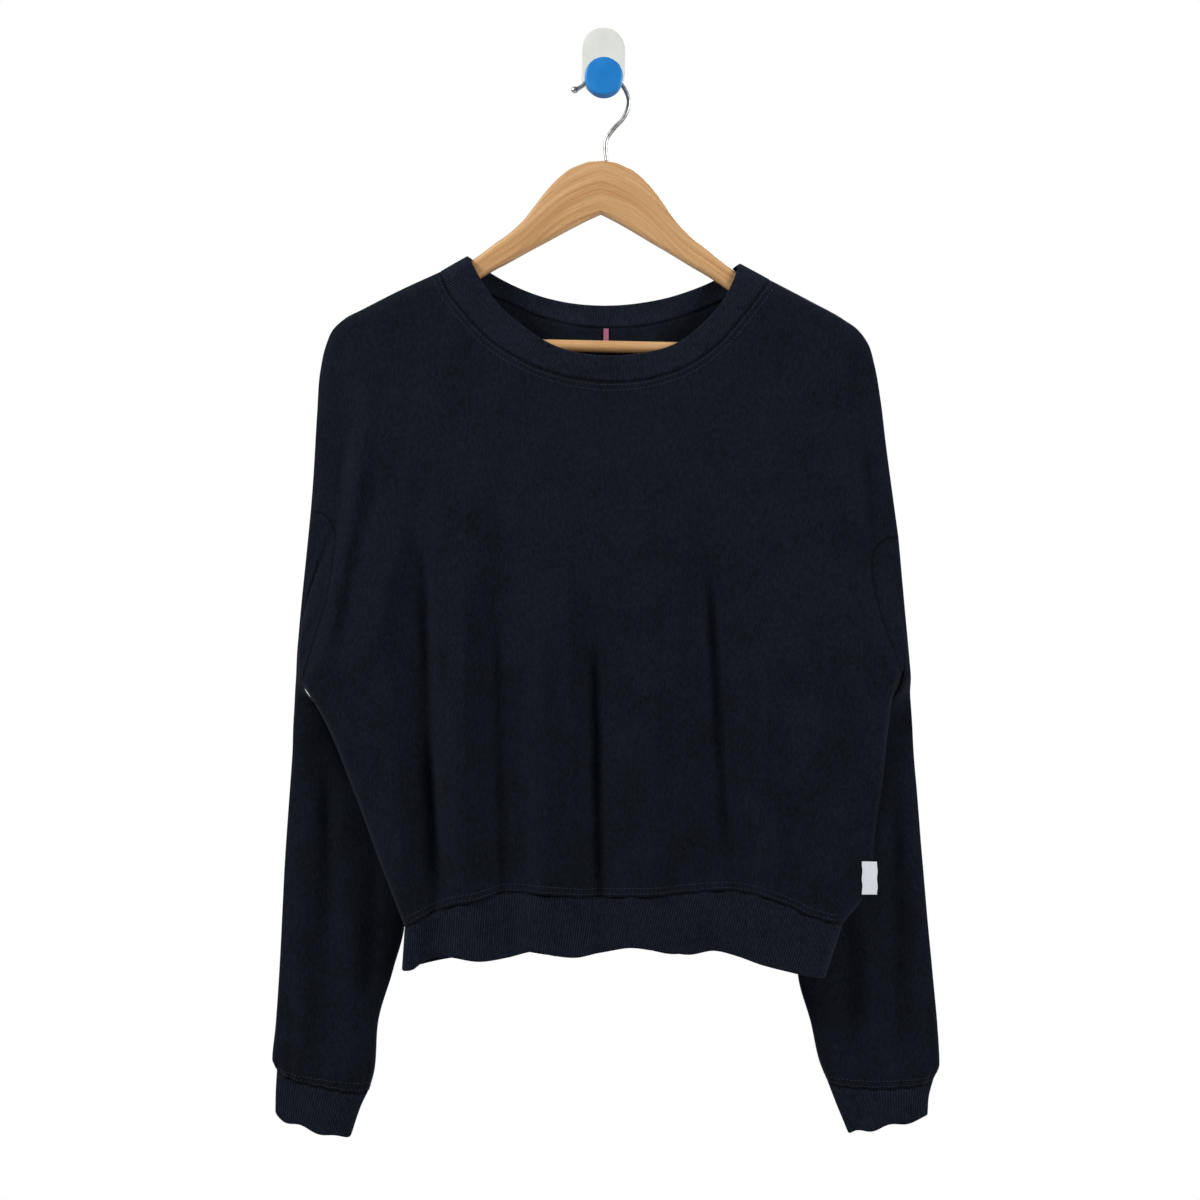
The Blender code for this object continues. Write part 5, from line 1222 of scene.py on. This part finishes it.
# ---------------------------------------------------------------- the garment
front, back = make_panel(FRONT), make_panel(BACK)
cloth = {name: add_wall(name + "_jersey", name, *panel[:2], jersey, "jersey", seam=panel[2])
         for name, panel in (("front", front), ("back", back))}
cuff_stitches = []
for side in SIDES:
    outer, inner, nearest, normals = make_sleeve(front, back, side)
    node = "sleeve_" + side
    cloth[node] = add_wall(node + "_jersey", node, outer, inner, jersey, "jersey", True, seam=nearest)
    for row in CUFF_STITCH_ROWS:
        closed = [np.vstack([grid[row], grid[row, :1]]) for grid in (outer, normals)]
        cuff_stitches.append(add_stitches(*closed))
    node = "cuff_" + side
    outer, inner, ribs, depth = make_cuff(side)
    cloth[node] = add_wall(node + "_rib", node, outer, inner, rib, "rib", True, rib=ribs, seam=depth)
for node, lines, bulge in (("neckband", NECKBAND_LINES, NECK_BULGE), ("hem_band", HEM_BAND_LINES, HEM_BULGE)):
    outer, inner, ribs, depth = make_band(lines, bulge)
    cloth[node] = add_wall(node + "_rib", node, outer, inner, rib, "rib", True, rib=ribs, seam=depth)
cloth["label"] = make_label()
tab = make_neck_tab()
stitches = join_parts("cover_stitches", seam_stitches() + cuff_stitches, thread)
make_hanger()
make_bar()
make_hook()
make_peg()

# ---------------------------------------------------------------- stage, light and camera
FLOOR_Z = -1.9
FLOOR_REACH = 2.2          # it ends before it comes into the camera's view
floor = bpy.data.meshes.new("floor")
corners = ((-1, -1), (1, -1), (1, 1), (-1, 1))
floor.from_pydata([(x * FLOOR_REACH, y * FLOOR_REACH, FLOOR_Z) for x, y in corners], [], [(0, 1, 2, 3)])
add_object("floor", floor, floor_paint)

UPPER_CHEST = Vector((0.0, -0.05, -0.3))
LIGHTS = [    # name, place in m, side of its square in m, watts
    ("key", (-1.5, -0.7, 0.6), 0.5, 40.0), ("fill", (1.5, -0.95, 0.1), 0.7, 27.0),
    ("back_fill", (0.6, 1.6, 0.8), 1.4, 30.0)]
for name, place, size, power in LIGHTS:
    lamp = bpy.data.lights.new(name, "AREA")
    lamp.shape = "SQUARE"
    lamp.size = size
    lamp.energy = power
    item = add_object(name, lamp)
    item.location = place
    item.rotation_euler = (UPPER_CHEST - Vector(place)).to_track_quat("-Z", "Y").to_euler()

# the sky is white to the eye and dimmer as a light, so the folds keep their shade
SKY_LIGHT = 0.24
sky = bpy.data.worlds.new("white_studio")
sky.use_nodes = True
seen = add_node(sky, "LightPath")
strength = add_node(sky, "MapRange", values={"To Min": SKY_LIGHT, "To Max": 1.0},
                    links={"Value": (seen, "Is Camera Ray")})
background = sky.node_tree.nodes["Background"]
background.inputs["Color"].default_value = (1.0, 1.0, 1.0, 1.0)
sky.node_tree.links.new(strength.outputs["Result"], background.inputs["Strength"])
bpy.context.scene.world = sky
bpy.context.scene.view_settings.view_transform = "Standard"

camera = bpy.data.cameras.new("photo_view")
camera.sensor_width = 36.0
camera.lens = 67.857
viewer = add_object("photo_view", camera)
viewer.location = (-0.0026, -1.942, -0.4611)
viewer.rotation_euler = (math.radians(90.0), 0.0, 0.0)
bpy.context.scene.camera = viewer
